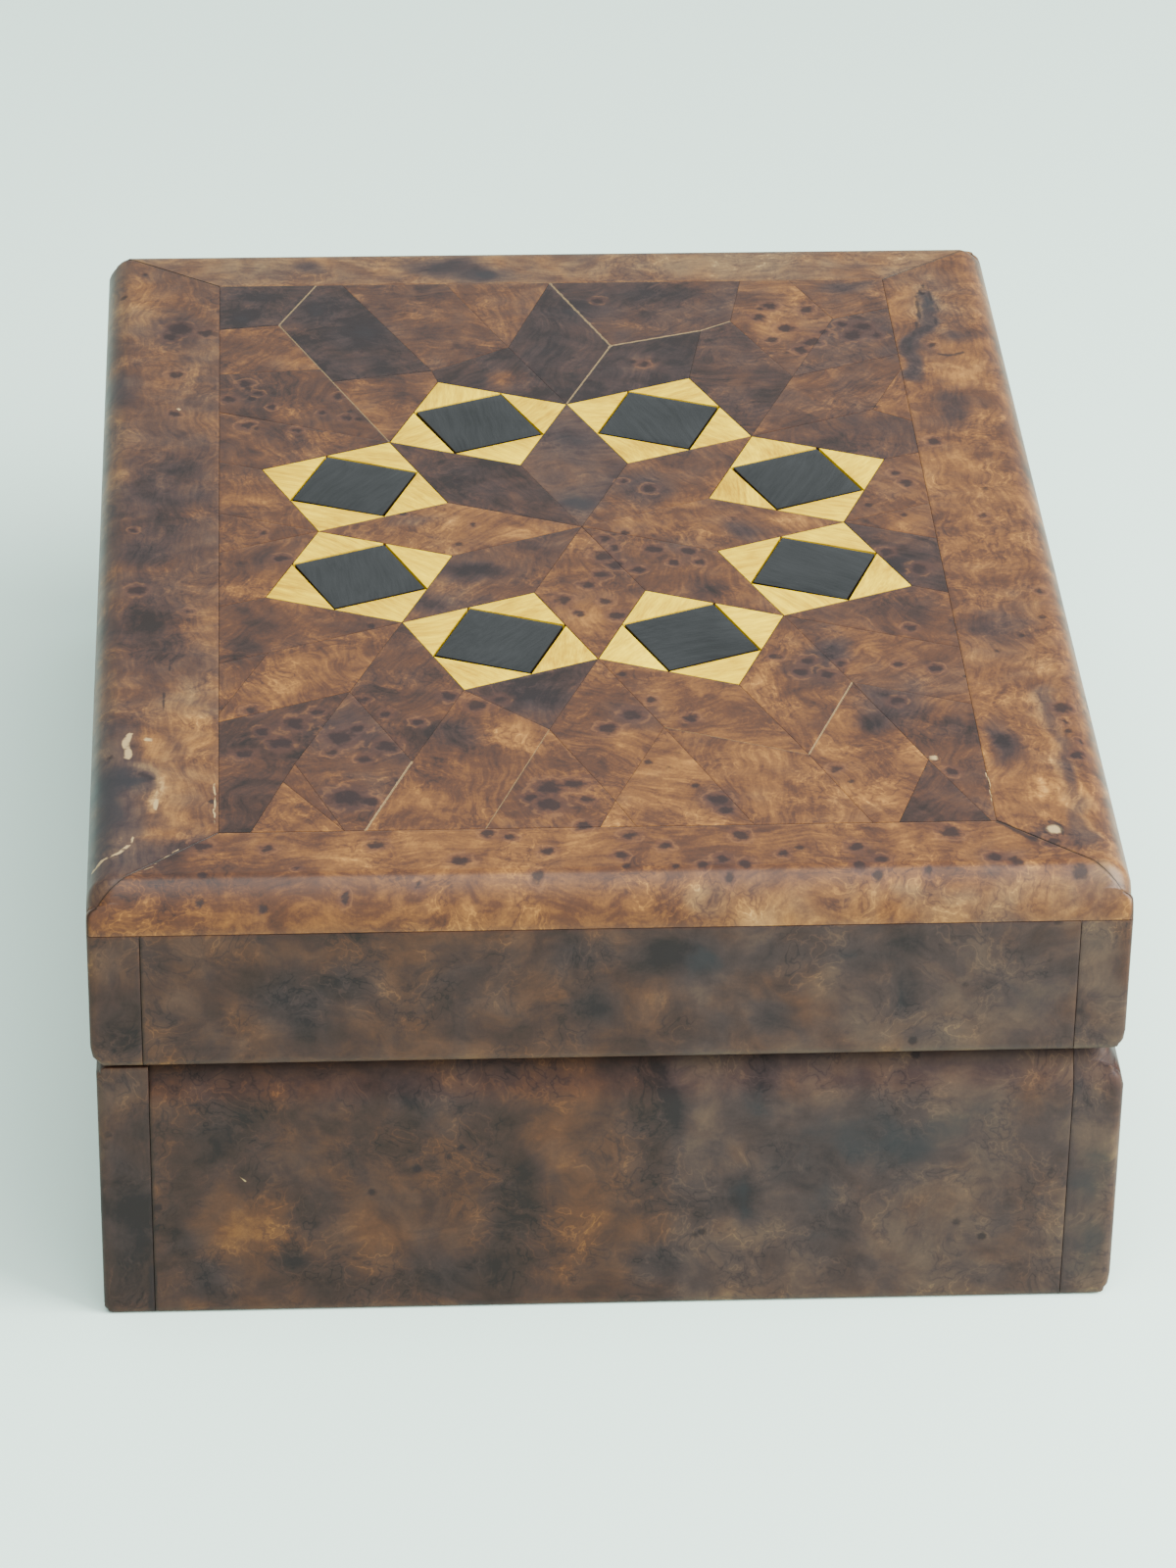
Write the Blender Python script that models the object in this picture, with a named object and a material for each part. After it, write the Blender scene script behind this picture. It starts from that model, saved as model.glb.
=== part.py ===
"""An inlaid wooden box: a base and a hinged lid of burl boards, a marquetry star, two brass hinges.

Frame: metres, +Z up. The origin is under the middle of the box, on the surface that it stands on.
The hinges are on the -X side, the lid opens at the +X side, and -Y is the near end.
"""

import math

import bmesh
import bpy
from mathutils import Matrix, Vector

MM = 0.001

# Driving dimensions of the box.
WIDTH = 110.0 * MM
DEPTH = 150.0 * MM
HEIGHT = 54.2 * MM
SEAM_HEIGHT = 32.3 * MM
FIT_GAP = 0.3 * MM
BOARD = 5.5 * MM
BOTTOM_PANEL = 3.5 * MM
BASE_SET_IN_AT_HINGES = 0.5 * MM
LID_SET_IN_AT_OPENING = 0.4 * MM
BASE_SET_IN_AT_ENDS = 0.6 * MM

# Edges of the boards.
FINGER_CHAMFER_IN = 2.2 * MM
FINGER_CHAMFER_DOWN = 4.3 * MM
OPENING_FOOT_RADIUS = 2.0 * MM
HINGE_FOOT_RADIUS = 1.2 * MM
LID_LIP_RADIUS_OPENING = 2.2 * MM
LID_LIP_RADIUS_ENDS = 1.0 * MM
LID_RELIEF_IN = 1.1 * MM
LID_RELIEF_UP = 1.6 * MM
BASE_RELIEF_IN = 0.6 * MM
BASE_RELIEF_DOWN = 1.0 * MM

# The lid's top: mitred rails round a raised panel that carries the marquetry.
RAIL_THICKNESS = 5.2 * MM
SIDE_RAIL = 14.0 * MM
NEAR_RAIL = 12.0 * MM
FAR_RAIL = 10.0 * MM
SIDE_RAIL_RADIUS = 3.0 * MM
END_RAIL_RADIUS = 4.0 * MM
PANEL_TONGUE = 2.7 * MM
INLAY_THICKNESS = 1.7 * MM

# The star: a ring of eight squares that stand on their corners and touch at eight points.
STAR_POINTS = 8
STAR_X = 0.5 * MM
STAR_Y = 2.5 * MM
STAR_TURN = math.radians(0.5)
STAR_RING_RADIUS = 30.3 * MM
TILE_BACKING = 0.6 * MM

# The hinges: rolled brass, let into the edges of the two hinge-side boards.
HINGE_PLACES = {"near": -42.0 * MM, "far": 42.0 * MM}
HINGE_LENGTH = 16.0 * MM
LID_KNUCKLE = 5.4 * MM
BRASS = 0.4 * MM
BARREL_RADIUS = 1.0 * MM
PIN_RADIUS = 0.4 * MM
SWAGE_RUN = 1.5 * MM
LEAF_INNER_X = -49.8 * MM
SCREW_X = -51.1 * MM
SCREW_OFFSET = 4.5 * MM
SCREW_HEAD_RADIUS = 0.9 * MM
SCREW_SHANK_RADIUS = 0.45 * MM
SCREW_HEAD_DEPTH = 0.45 * MM
SCREW_LENGTH = 5.0 * MM
BRASS_GAP = 0.15 * MM

# Steps of a quarter turn and sides of a round piece.
CORNER_STEPS = 3
ROUND_SIDES = 16

# Places that follow from the sizes.
LEFT = -WIDTH / 2
RIGHT = WIDTH / 2
NEAR = -DEPTH / 2
FAR = DEPTH / 2
BASE_TOP = SEAM_HEIGHT - FIT_GAP / 2
LID_BOTTOM = SEAM_HEIGHT + FIT_GAP / 2
RAIL_BOTTOM = HEIGHT - RAIL_THICKNESS
BASE_LEFT = LEFT + BASE_SET_IN_AT_HINGES
BASE_NEAR = NEAR + BASE_SET_IN_AT_ENDS
BASE_FAR = FAR - BASE_SET_IN_AT_ENDS
LID_RIGHT = RIGHT - LID_SET_IN_AT_OPENING
FIELD_LEFT = LEFT + SIDE_RAIL
FIELD_RIGHT = RIGHT - SIDE_RAIL
FIELD_NEAR = NEAR + NEAR_RAIL
FIELD_FAR = FAR - FAR_RAIL
PIVOT_X = LEFT + BARREL_RADIUS
PIVOT_Z = SEAM_HEIGHT

# Base colour, roughness and metallic value of each finish.
FINISHES = {
    "dark_burl": ((0.085, 0.038, 0.019), 0.38, 0.0),
    "rail_burl": ((0.230, 0.095, 0.032), 0.32, 0.0),
    "sapwood": ((0.200, 0.110, 0.050), 0.34, 0.0),
    "field_burl": ((0.140, 0.060, 0.028), 0.34, 0.0),
    "kite_burl": ((0.110, 0.052, 0.027), 0.34, 0.0),
    "lemonwood": ((0.780, 0.560, 0.150), 0.40, 0.0),
    "ebony": ((0.040, 0.042, 0.045), 0.45, 0.0),
    "plain_wood": ((0.260, 0.140, 0.070), 0.60, 0.0),
    "brass": ((0.720, 0.500, 0.200), 0.30, 1.0),
}


def clear_scene():
    for obj in list(bpy.data.objects):
        bpy.data.objects.remove(obj, do_unlink=True)


def make_material(name, finish):
    color, roughness, metallic = FINISHES[finish]
    material = bpy.data.materials.new(name)
    material.use_nodes = True
    shader = material.node_tree.nodes["Principled BSDF"]
    shader.inputs["Base Color"].default_value = (*color, 1.0)
    shader.inputs["Roughness"].default_value = roughness
    shader.inputs["Metallic"].default_value = metallic
    return material


def mesh_from(bm, name, finish):
    bmesh.ops.recalc_face_normals(bm, faces=bm.faces)
    mesh = bpy.data.meshes.new(name)
    bm.to_mesh(mesh)
    bm.free()
    mesh.materials.append(make_material(name, finish))
    return mesh


def place(name, mesh, parent, location=(0, 0, 0), turn=0.0):
    """Links an object in world coordinates and hangs it on its body's empty."""
    obj = bpy.data.objects.new(name, mesh)
    bpy.context.scene.collection.objects.link(obj)
    obj.location = location
    obj.rotation_euler = (0, 0, turn)
    obj.parent = parent
    obj.matrix_parent_inverse = Matrix.Translation(-parent.location)
    return obj


def make_empty(name, location):
    empty = bpy.data.objects.new(name, None)
    empty.empty_display_size = 10 * MM
    empty.location = location
    bpy.context.scene.collection.objects.link(empty)
    return empty


# ---- Flat outlines


def unit(angle):
    return Vector((math.cos(angle), math.sin(angle)))


def rotated(point, angle):
    across = Vector((-point.y, point.x))
    return point * math.cos(angle) + across * math.sin(angle)


def rectangle(left, right, low, high):
    return [Vector(p) for p in ((left, low), (right, low), (right, high), (left, high))]


def with_fillets(corners):
    """An outline from (u, v, radius) corners, each turned into an arc where it has a radius."""
    outline = []
    for index, (u, v, radius) in enumerate(corners):
        corner = Vector((u, v))
        if radius == 0:
            outline.append(corner)
            continue
        before = (Vector(corners[index - 1][:2]) - corner).normalized()
        after = (Vector(corners[(index + 1) % len(corners)][:2]) - corner).normalized()
        half_angle = before.angle(after) / 2
        centre = corner + (before + after).normalized() * radius / math.sin(half_angle)
        start = corner + before * radius / math.tan(half_angle) - centre
        sweep = math.copysign(math.pi - 2 * half_angle, before.cross(after) * -1)
        for step in range(CORNER_STEPS + 1):
            outline.append(centre + rotated(start, sweep * step / CORNER_STEPS))
    return outline


def shrunk(outline, distance):
    """The anticlockwise outline with every side moved in by a distance."""
    count = len(outline)
    result = []
    for index in range(count):
        before, corner, after = outline[index - 1], outline[index], outline[(index + 1) % count]
        along_in = (corner - before).normalized()
        along_out = (after - corner).normalized()
        normal_in = Vector((-along_in.y, along_in.x))
        normal_out = Vector((-along_out.y, along_out.x))
        result.append(corner + (normal_in + normal_out) * distance / (1 + normal_in.dot(normal_out)))
    return result


# ---- Solids


def point_on(axis, u, v, w):
    """A point with w along the axis, and u and v along the other two in X, Y, Z order."""
    return {"X": (w, u, v), "Y": (u, w, v), "Z": (u, v, w)}[axis]


def prism(outline, low, high, axis="Z"):
    bm = bmesh.new()
    add_prism(bm, outline, low, high, axis)
    return bm


def add_prism(bm, outline, low, high, axis="Z"):
    """Adds a closed solid with a flat outline, swept along an axis, and returns its far face."""
    face = bm.faces.new([bm.verts.new(point_on(axis, u, v, low)) for u, v in outline])
    grown = bmesh.ops.extrude_face_region(bm, geom=[face], use_keep_orig=True)["geom"]
    sweep = Vector(point_on(axis, 0, 0, high - low))
    bmesh.ops.translate(bm, vec=sweep, verts=[g for g in grown if isinstance(g, bmesh.types.BMVert)])
    return next(g for g in grown if isinstance(g, bmesh.types.BMFace))


def pull_out(bm, faces, move):
    """Extrudes faces of a closed solid by a vector and returns the faces at their new place."""
    grown = bmesh.ops.extrude_face_region(bm, geom=faces)["geom"]
    bmesh.ops.delete(bm, geom=[f for f in faces if f.is_valid], context="FACES_ONLY")
    bmesh.ops.translate(bm, vec=move, verts=[g for g in grown if isinstance(g, bmesh.types.BMVert)])
    return [g for g in grown if isinstance(g, bmesh.types.BMFace)]


def trim(bm, point, normal):
    """Cuts away what lies on the side of a plane that its normal points to, and closes the cut."""
    everything = bm.verts[:] + bm.edges[:] + bm.faces[:]
    cut = bmesh.ops.bisect_plane(
        bm, geom=everything, dist=1e-7, plane_co=point, plane_no=normal, clear_outer=True
    )
    rim = [g for g in cut["geom_cut"] if isinstance(g, bmesh.types.BMEdge)]
    bmesh.ops.contextual_create(bm, geom=rim)


def turned(profile):
    bm = bmesh.new()
    add_turned(bm, profile)
    return bm


def add_turned(bm, profile):
    """Adds a solid of revolution about +Z from (radius, z) points that start and end on the axis."""
    angles = [2 * math.pi * i / ROUND_SIDES for i in range(ROUND_SIDES)]
    rings = []
    for radius, z in profile:
        if radius == 0:
            rings.append([bm.verts.new((0, 0, z))] * ROUND_SIDES)
        else:
            rings.append([bm.verts.new((*(unit(a) * radius), z)) for a in angles])
    for lower, upper in zip(rings, rings[1:]):
        for i in range(ROUND_SIDES):
            j = (i + 1) % ROUND_SIDES
            corners = dict.fromkeys((lower[i], lower[j], upper[j], upper[i]))
            bm.faces.new(list(corners))


def shade_round(obj):
    obj.data.shade_smooth()
    obj.data.set_sharp_from_angle(angle=math.radians(35))


# ---- Base


def hinge_board_outline():
    """The base's hinge-side board, cut back a little at the top so that the lid can swing past it."""
    inner = BASE_LEFT + BOARD
    return with_fillets([
        (BASE_LEFT, 0, HINGE_FOOT_RADIUS),
        (inner, 0, 0),
        (inner, BASE_TOP, 0),
        (BASE_LEFT + BASE_RELIEF_IN, BASE_TOP, 0),
        (BASE_LEFT, BASE_TOP - BASE_RELIEF_DOWN, 0),
    ])


def opening_board_outline():
    """The base's opening-side board, chamfered along its top as a grip for the fingers."""
    inner = RIGHT - BOARD
    return with_fillets([
        (inner, 0, 0),
        (RIGHT, 0, OPENING_FOOT_RADIUS),
        (RIGHT, BASE_TOP - FINGER_CHAMFER_DOWN, 0),
        (RIGHT - FINGER_CHAMFER_IN, BASE_TOP, 0),
        (inner, BASE_TOP, 0),
    ])


def trim_end_chamfer(bm, end_y):
    """Carries the grip's chamfer round the end of a board."""
    outward = math.copysign(1.0, end_y)
    foot = Vector((0, end_y, BASE_TOP - FINGER_CHAMFER_DOWN))
    normal = Vector((0, outward * FINGER_CHAMFER_DOWN, FINGER_CHAMFER_IN)).normalized()
    trim(bm, foot, normal)


def build_base(base, cutters):
    hinge_board = prism(hinge_board_outline(), BASE_NEAR, BASE_FAR, "Y")
    board = place("base_hinge_side", mesh_from(hinge_board, "base_hinge_side", "dark_burl"), base)
    cut_with(board, cutters)

    opening_board = prism(opening_board_outline(), BASE_NEAR, BASE_FAR, "Y")
    for end_y in (BASE_NEAR, BASE_FAR):
        trim_end_chamfer(opening_board, end_y)
    place("base_opening_side", mesh_from(opening_board, "base_opening_side", "dark_burl"), base)

    left = BASE_LEFT + BOARD + FIT_GAP
    right = RIGHT - BOARD - FIT_GAP
    for name, end_y in (("base_near_end", BASE_NEAR), ("base_far_end", BASE_FAR)):
        inner_y = end_y - math.copysign(BOARD, end_y)
        low_y, high_y = sorted((end_y, inner_y))
        end_board = prism(rectangle(left, right, low_y, high_y), 0, BASE_TOP)
        trim_end_chamfer(end_board, end_y)
        place(name, mesh_from(end_board, name, "dark_burl"), base)

    near = BASE_NEAR + BOARD + FIT_GAP
    far = BASE_FAR - BOARD - FIT_GAP
    panel = prism(rectangle(left, right, near, far), 0, BOTTOM_PANEL)
    place("bottom_panel", mesh_from(panel, "bottom_panel", "plain_wood"), base)


# ---- Lid


def build_lid_boards(lid, cutters):
    top = RAIL_BOTTOM - FIT_GAP
    hinge_outline = [
        (LEFT + LID_RELIEF_IN, LID_BOTTOM),
        (LEFT + BOARD, LID_BOTTOM),
        (LEFT + BOARD, top),
        (LEFT, top),
        (LEFT, LID_BOTTOM + LID_RELIEF_UP),
    ]
    hinge_board = prism(hinge_outline, NEAR, FAR, "Y")
    board = place("lid_hinge_side", mesh_from(hinge_board, "lid_hinge_side", "dark_burl"), lid)
    cut_with(board, cutters)

    opening_outline = with_fillets([
        (LID_RIGHT - BOARD, LID_BOTTOM, 0),
        (LID_RIGHT, LID_BOTTOM, LID_LIP_RADIUS_OPENING),
        (LID_RIGHT, top, 0),
        (LID_RIGHT - BOARD, top, 0),
    ])
    opening_board = prism(opening_outline, NEAR, FAR, "Y")
    place("lid_opening_side", mesh_from(opening_board, "lid_opening_side", "dark_burl"), lid)

    left = LEFT + BOARD + FIT_GAP
    right = LID_RIGHT - BOARD - FIT_GAP
    for name, end_y in (("lid_near_end", NEAR), ("lid_far_end", FAR)):
        inner_y = end_y - math.copysign(BOARD, end_y)
        end_outline = with_fillets([
            (end_y, LID_BOTTOM, LID_LIP_RADIUS_ENDS),
            (inner_y, LID_BOTTOM, 0),
            (inner_y, top, 0),
            (end_y, top, 0),
        ])
        end_board = prism(end_outline, left, right, "X")
        place(name, mesh_from(end_board, name, "dark_burl"), lid)


def build_core_panel(lid):
    """The lid's panel: a tongue under the rails, and a raised field that the inlay is glued to."""
    near = NEAR + BOARD + FIT_GAP
    far = FAR - BOARD - FIT_GAP
    left = LEFT + BOARD + FIT_GAP
    right = LID_RIGHT - BOARD - FIT_GAP
    tongue_top = RAIL_BOTTOM - FIT_GAP
    tongue_low = tongue_top - PANEL_TONGUE
    field_top = HEIGHT - INLAY_THICKNESS - FIT_GAP

    bm = bmesh.new()
    top = add_prism(bm, rectangle(left, right, near, far), tongue_low, tongue_top)
    bmesh.ops.inset_individual(bm, faces=[top], thickness=SIDE_RAIL / 2)
    for vert in top.verts:
        vert.co.x = FIELD_LEFT + FIT_GAP if vert.co.x < 0 else FIELD_RIGHT - FIT_GAP
        vert.co.y = FIELD_NEAR + FIT_GAP if vert.co.y < 0 else FIELD_FAR - FIT_GAP
    pull_out(bm, [top], (0, 0, field_top - tongue_top))
    place("lid_core_panel", mesh_from(bm, "lid_core_panel", "plain_wood"), lid)


def build_rails(lid):
    """Four rails with mitred ends and a rounded outer edge, glued on top of the boards."""
    outer = rectangle(LEFT, LID_RIGHT, NEAR, FAR)
    inner = rectangle(FIELD_LEFT, FIELD_RIGHT, FIELD_NEAR, FIELD_FAR)
    rails = {
        "top_rail_near": (0, END_RAIL_RADIUS, "rail_burl"),
        "top_rail_opening_side": (1, SIDE_RAIL_RADIUS, "rail_burl"),
        "top_rail_far": (2, END_RAIL_RADIUS, "rail_burl"),
        "top_rail_hinge_side": (3, SIDE_RAIL_RADIUS, "sapwood"),
    }
    for name, (side, radius, finish) in rails.items():
        after = (side + 1) % 4
        outline = shrunk([outer[side], outer[after], inner[after], inner[side]], FIT_GAP / 2)
        bm = bmesh.new()
        top = add_prism(bm, outline, RAIL_BOTTOM, HEIGHT)
        outer_ends = [Vector((p.x, p.y, HEIGHT)) for p in outline[:2]]
        corners = [min(top.verts, key=lambda v, end=end: (v.co - end).length) for end in outer_ends]
        edge = next(e for e in top.edges if set(e.verts) == set(corners))
        bmesh.ops.bevel(
            bm,
            geom=[edge],
            offset=radius,
            offset_type="OFFSET",
            segments=CORNER_STEPS,
            profile=0.5,
            affect="EDGES",
        )
        place(name, mesh_from(bm, name, finish), lid)


# ---- Marquetry


def star_point(radius, angle):
    return Vector((STAR_X, STAR_Y)) + unit(angle + STAR_TURN) * radius


def square_half_diagonal():
    return STAR_RING_RADIUS * math.sin(math.pi / STAR_POINTS)


def square_centre_radius():
    return STAR_RING_RADIUS * math.cos(math.pi / STAR_POINTS)


def build_squares(lid):
    """Each square of the ring: four lemonwood corners on a thin backing, round an ebony square."""
    low = HEIGHT - INLAY_THICKNESS
    half_side = square_half_diagonal() / math.sqrt(2) - FIT_GAP / 2
    leg_end = (1 + math.sqrt(2)) * FIT_GAP / 2
    tile_mesh = lemonwood_tile(half_side, leg_end)
    ebony_half = half_side / math.sqrt(2) - FIT_GAP / 2
    ebony_thickness = INLAY_THICKNESS - TILE_BACKING - FIT_GAP
    ebony_outline = rectangle(-ebony_half, ebony_half, -ebony_half, ebony_half)
    ebony = prism(ebony_outline, 0, ebony_thickness)
    ebony_mesh = mesh_from(ebony, "star_ebony", "ebony")
    for index in range(STAR_POINTS):
        angle = (index + 0.5) * 2 * math.pi / STAR_POINTS
        spot = star_point(square_centre_radius(), angle)
        turn = angle + STAR_TURN + math.pi / 4
        number = index + 1
        place(f"star_lemonwood_{number}", tile_mesh, lid, (*spot, low), turn)
        above = low + TILE_BACKING + FIT_GAP
        place(f"star_ebony_{number}", ebony_mesh, lid, (*spot, above), turn + math.pi / 4)


def lemonwood_tile(half_side, leg_end):
    """A square plate with a raised right-angled triangle on each corner."""
    outline = []
    for quarter in range(4):
        for x in (-leg_end, leg_end, half_side):
            outline.append(rotated(Vector((x, -half_side)), quarter * math.pi / 2))
    bm = bmesh.new()
    top = add_prism(bm, outline, 0, TILE_BACKING)
    rim = list(top.verts)
    bm.faces.remove(top)
    triangles = []
    middle = []
    for index, vert in enumerate(rim):
        if min(abs(vert.co.x), abs(vert.co.y)) > half_side / 2:
            triangles.append(bm.faces.new((rim[index - 1], vert, rim[(index + 1) % len(rim)])))
        else:
            middle.append(vert)
    bm.faces.new(middle)
    pull_out(bm, triangles, (0, 0, INLAY_THICKNESS - TILE_BACKING))
    return mesh_from(bm, "star_lemonwood", "lemonwood")


def build_kites(lid):
    """Eight kites that meet at the star's centre, each reaching out to where two squares touch."""
    inner_radius = square_centre_radius() - square_half_diagonal()
    step = math.pi / STAR_POINTS
    for index in range(STAR_POINTS):
        angle = index * 2 * step
        outline = [
            star_point(0, 0),
            star_point(inner_radius, angle - step),
            star_point(STAR_RING_RADIUS, angle),
            star_point(inner_radius, angle + step),
        ]
        name = f"star_kite_{index + 1}"
        kite = prism(shrunk(outline, FIT_GAP / 2), HEIGHT - INLAY_THICKNESS, HEIGHT)
        place(name, mesh_from(kite, name, "kite_burl"), lid)


def border_hit(start, direction):
    """Where a ray from inside the field meets the rails."""
    reach_x = ((FIELD_RIGHT if direction.x > 0 else FIELD_LEFT) - start.x) / direction.x
    reach_y = ((FIELD_FAR if direction.y > 0 else FIELD_NEAR) - start.y) / direction.y
    return start + direction * min(reach_x, reach_y)


def inside_field(point):
    return FIELD_LEFT < point.x < FIELD_RIGHT and FIELD_NEAR < point.y < FIELD_FAR


def seam_from(index):
    """The seam from a point of the ring to the rails: one square's side out, then a bend."""
    step = math.pi / STAR_POINTS
    angle = index * 2 * step
    start = star_point(STAR_RING_RADIUS, angle)
    side = square_half_diagonal() * math.sqrt(2)
    bend = start + unit(angle - step + STAR_TURN) * side
    if not inside_field(bend):
        return [start, border_hit(start, unit(angle - step + STAR_TURN))]
    return [start, bend, border_hit(bend, unit(angle + step + STAR_TURN))]


def border_turn(point):
    """A place along the rails as an angle that grows anticlockwise from +X."""
    centre = Vector(((FIELD_LEFT + FIELD_RIGHT) / 2, (FIELD_NEAR + FIELD_FAR) / 2))
    offset = point - centre
    return math.atan2(offset.y, offset.x) % (2 * math.pi)


def build_field(lid):
    """Eight pieces of burl that fill the field between the ring of squares and the rails."""
    step = math.pi / STAR_POINTS
    outer_radius = square_centre_radius() + square_half_diagonal()
    corners = rectangle(FIELD_LEFT, FIELD_RIGHT, FIELD_NEAR, FIELD_FAR)
    for index in range(STAR_POINTS):
        seam = seam_from(index)
        next_seam = seam_from((index + 1) % STAR_POINTS)
        start = border_turn(seam[-1])
        sweep = (border_turn(next_seam[-1]) - start) % (2 * math.pi)
        between = [c for c in corners if (border_turn(c) - start) % (2 * math.pi) < sweep]
        between.sort(key=lambda corner: (border_turn(corner) - start) % (2 * math.pi))
        outer_corner = star_point(outer_radius, (2 * index + 1) * step)
        outline = seam + between + next_seam[::-1] + [outer_corner]
        name = f"field_burl_{index + 1}"
        patch = prism(shrunk(outline, FIT_GAP / 2), HEIGHT - INLAY_THICKNESS, HEIGHT)
        place(name, mesh_from(patch, name, "field_burl"), lid)


# ---- Hinges


def make_cutter(name, bm):
    mesh = bpy.data.meshes.new(name)
    bmesh.ops.recalc_face_normals(bm, faces=bm.faces)
    bm.to_mesh(mesh)
    bm.free()
    cutter = bpy.data.objects.new(name, mesh)
    bpy.context.scene.collection.objects.link(cutter)
    cutter.display_type = "WIRE"
    cutter.hide_render = True
    return cutter


def cut_with(obj, cutters):
    for cutter in cutters:
        modifier = obj.modifiers.new(cutter.name, "BOOLEAN")
        modifier.operation = "DIFFERENCE"
        modifier.solver = "EXACT"
        modifier.object = cutter


def recess_cutter(place_name, centre_y):
    """The housing for one hinge: deep for the barrel, shallow for the two leaves."""
    barrel = BARREL_RADIUS + FIT_GAP
    leaf = FIT_GAP / 2 + BRASS + FIT_GAP
    outside = LEFT - BARREL_RADIUS
    inside = LEFT + BOARD + BOARD / 4
    step_x = PIVOT_X + barrel
    outline = [
        (outside, PIVOT_Z - barrel),
        (step_x, PIVOT_Z - barrel),
        (step_x, PIVOT_Z - leaf),
        (inside, PIVOT_Z - leaf),
        (inside, PIVOT_Z + leaf),
        (step_x, PIVOT_Z + leaf),
        (step_x, PIVOT_Z + barrel),
        (outside, PIVOT_Z + barrel),
    ]
    reach = HINGE_LENGTH / 2 + FIT_GAP
    return make_cutter(f"hinge_{place_name}_recess",
                       prism(outline, centre_y - reach, centre_y + reach, "Y"))


def screw_profile():
    """A countersunk screw, point down, with the top of its head at z = 0."""
    return [
        (0, -SCREW_LENGTH),
        (SCREW_SHANK_RADIUS, -SCREW_LENGTH * 0.75),
        (SCREW_SHANK_RADIUS, -SCREW_HEAD_DEPTH),
        (SCREW_HEAD_RADIUS, 0),
        (0, 0),
    ]


def screw_hole_profile():
    """The screw's outline grown by a gap, and open at the top."""
    return [
        (0, -SCREW_LENGTH - BRASS_GAP),
        (SCREW_SHANK_RADIUS + BRASS_GAP, -SCREW_LENGTH * 0.75),
        (SCREW_SHANK_RADIUS + BRASS_GAP, -SCREW_HEAD_DEPTH),
        (SCREW_HEAD_RADIUS + BRASS_GAP, 0),
        (SCREW_HEAD_RADIUS + BRASS_GAP, BRASS_GAP / 2),
        (0, BRASS_GAP / 2),
    ]


def drill_cutter(place_name, centre_y):
    """The four screw holes of one hinge, two down into the base and two up into the lid."""
    bm = bmesh.new()
    for offset in (-SCREW_OFFSET, SCREW_OFFSET):
        for level, flip in ((BASE_TOP, 0.0), (LID_BOTTOM, math.pi)):
            before = set(bm.verts)
            add_turned(bm, screw_hole_profile())
            spot = Matrix.Translation((SCREW_X, centre_y + offset, level))
            hole = [v for v in bm.verts if v not in before]
            bmesh.ops.transform(bm, matrix=spot @ Matrix.Rotation(flip, 4, "X"), verts=hole)
    return make_cutter(f"hinge_{place_name}_holes", bm)


def knuckle_sections(side):
    """Inner and outer points of the brass strip, from the leaf up the swage and round the pin."""
    bore = BARREL_RADIUS - BRASS
    sections = [(Vector((0, side * bore)), Vector((0, side * BARREL_RADIUS)))]
    steps = 4 * CORNER_STEPS
    sweep = math.radians(255)
    for step in range(1, steps + 1):
        turn = math.pi / 2 + sweep * step / steps
        ray = Vector((math.cos(turn), side * math.sin(turn)))
        sections.append((ray * bore, ray * BARREL_RADIUS))
    return sections


def leaf_mesh(name, side, knuckles):
    """One leaf about y = 0, with its knuckles rolled from it. Side is +1 for the lid, -1 for the base."""
    low, high = sorted((side * FIT_GAP / 2, side * (FIT_GAP / 2 + BRASS)))
    swage_x = PIVOT_X + SWAGE_RUN
    half = HINGE_LENGTH / 2
    bm = bmesh.new()
    outline = rectangle(swage_x, LEAF_INNER_X, PIVOT_Z + low, PIVOT_Z + high)
    add_prism(bm, outline, -half, half, "Y")
    for y in {y for pair in knuckles for y in pair if abs(y) < half}:
        everything = bm.verts[:] + bm.edges[:] + bm.faces[:]
        bmesh.ops.bisect_plane(bm, geom=everything, dist=1e-7, plane_co=(0, y, 0), plane_no=(0, 1, 0))
    for start, end in knuckles:
        root = Vector((swage_x, (start + end) / 2, PIVOT_Z + (low + high) / 2))
        face = min(bm.faces, key=lambda f, at=root: (f.calc_center_median() - at).length)
        for inner, outer in knuckle_sections(side):
            [face] = pull_out(bm, [face], (0, 0, 0))
            move_strip_end(face, inner, outer)
    return mesh_from(bm, name, "brass")


def move_strip_end(face, inner, outer):
    """Puts the end of the rolled strip on its next section, keeping each corner's place in y."""
    pivot = Vector((PIVOT_X, PIVOT_Z))
    ordered = sorted(face.verts, key=lambda v: (round(v.co.y / MM, 3), (v.co.xz - pivot).length))
    for vert, target in zip(ordered, (inner, outer, inner, outer)):
        vert.co.xz = pivot + target


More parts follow.
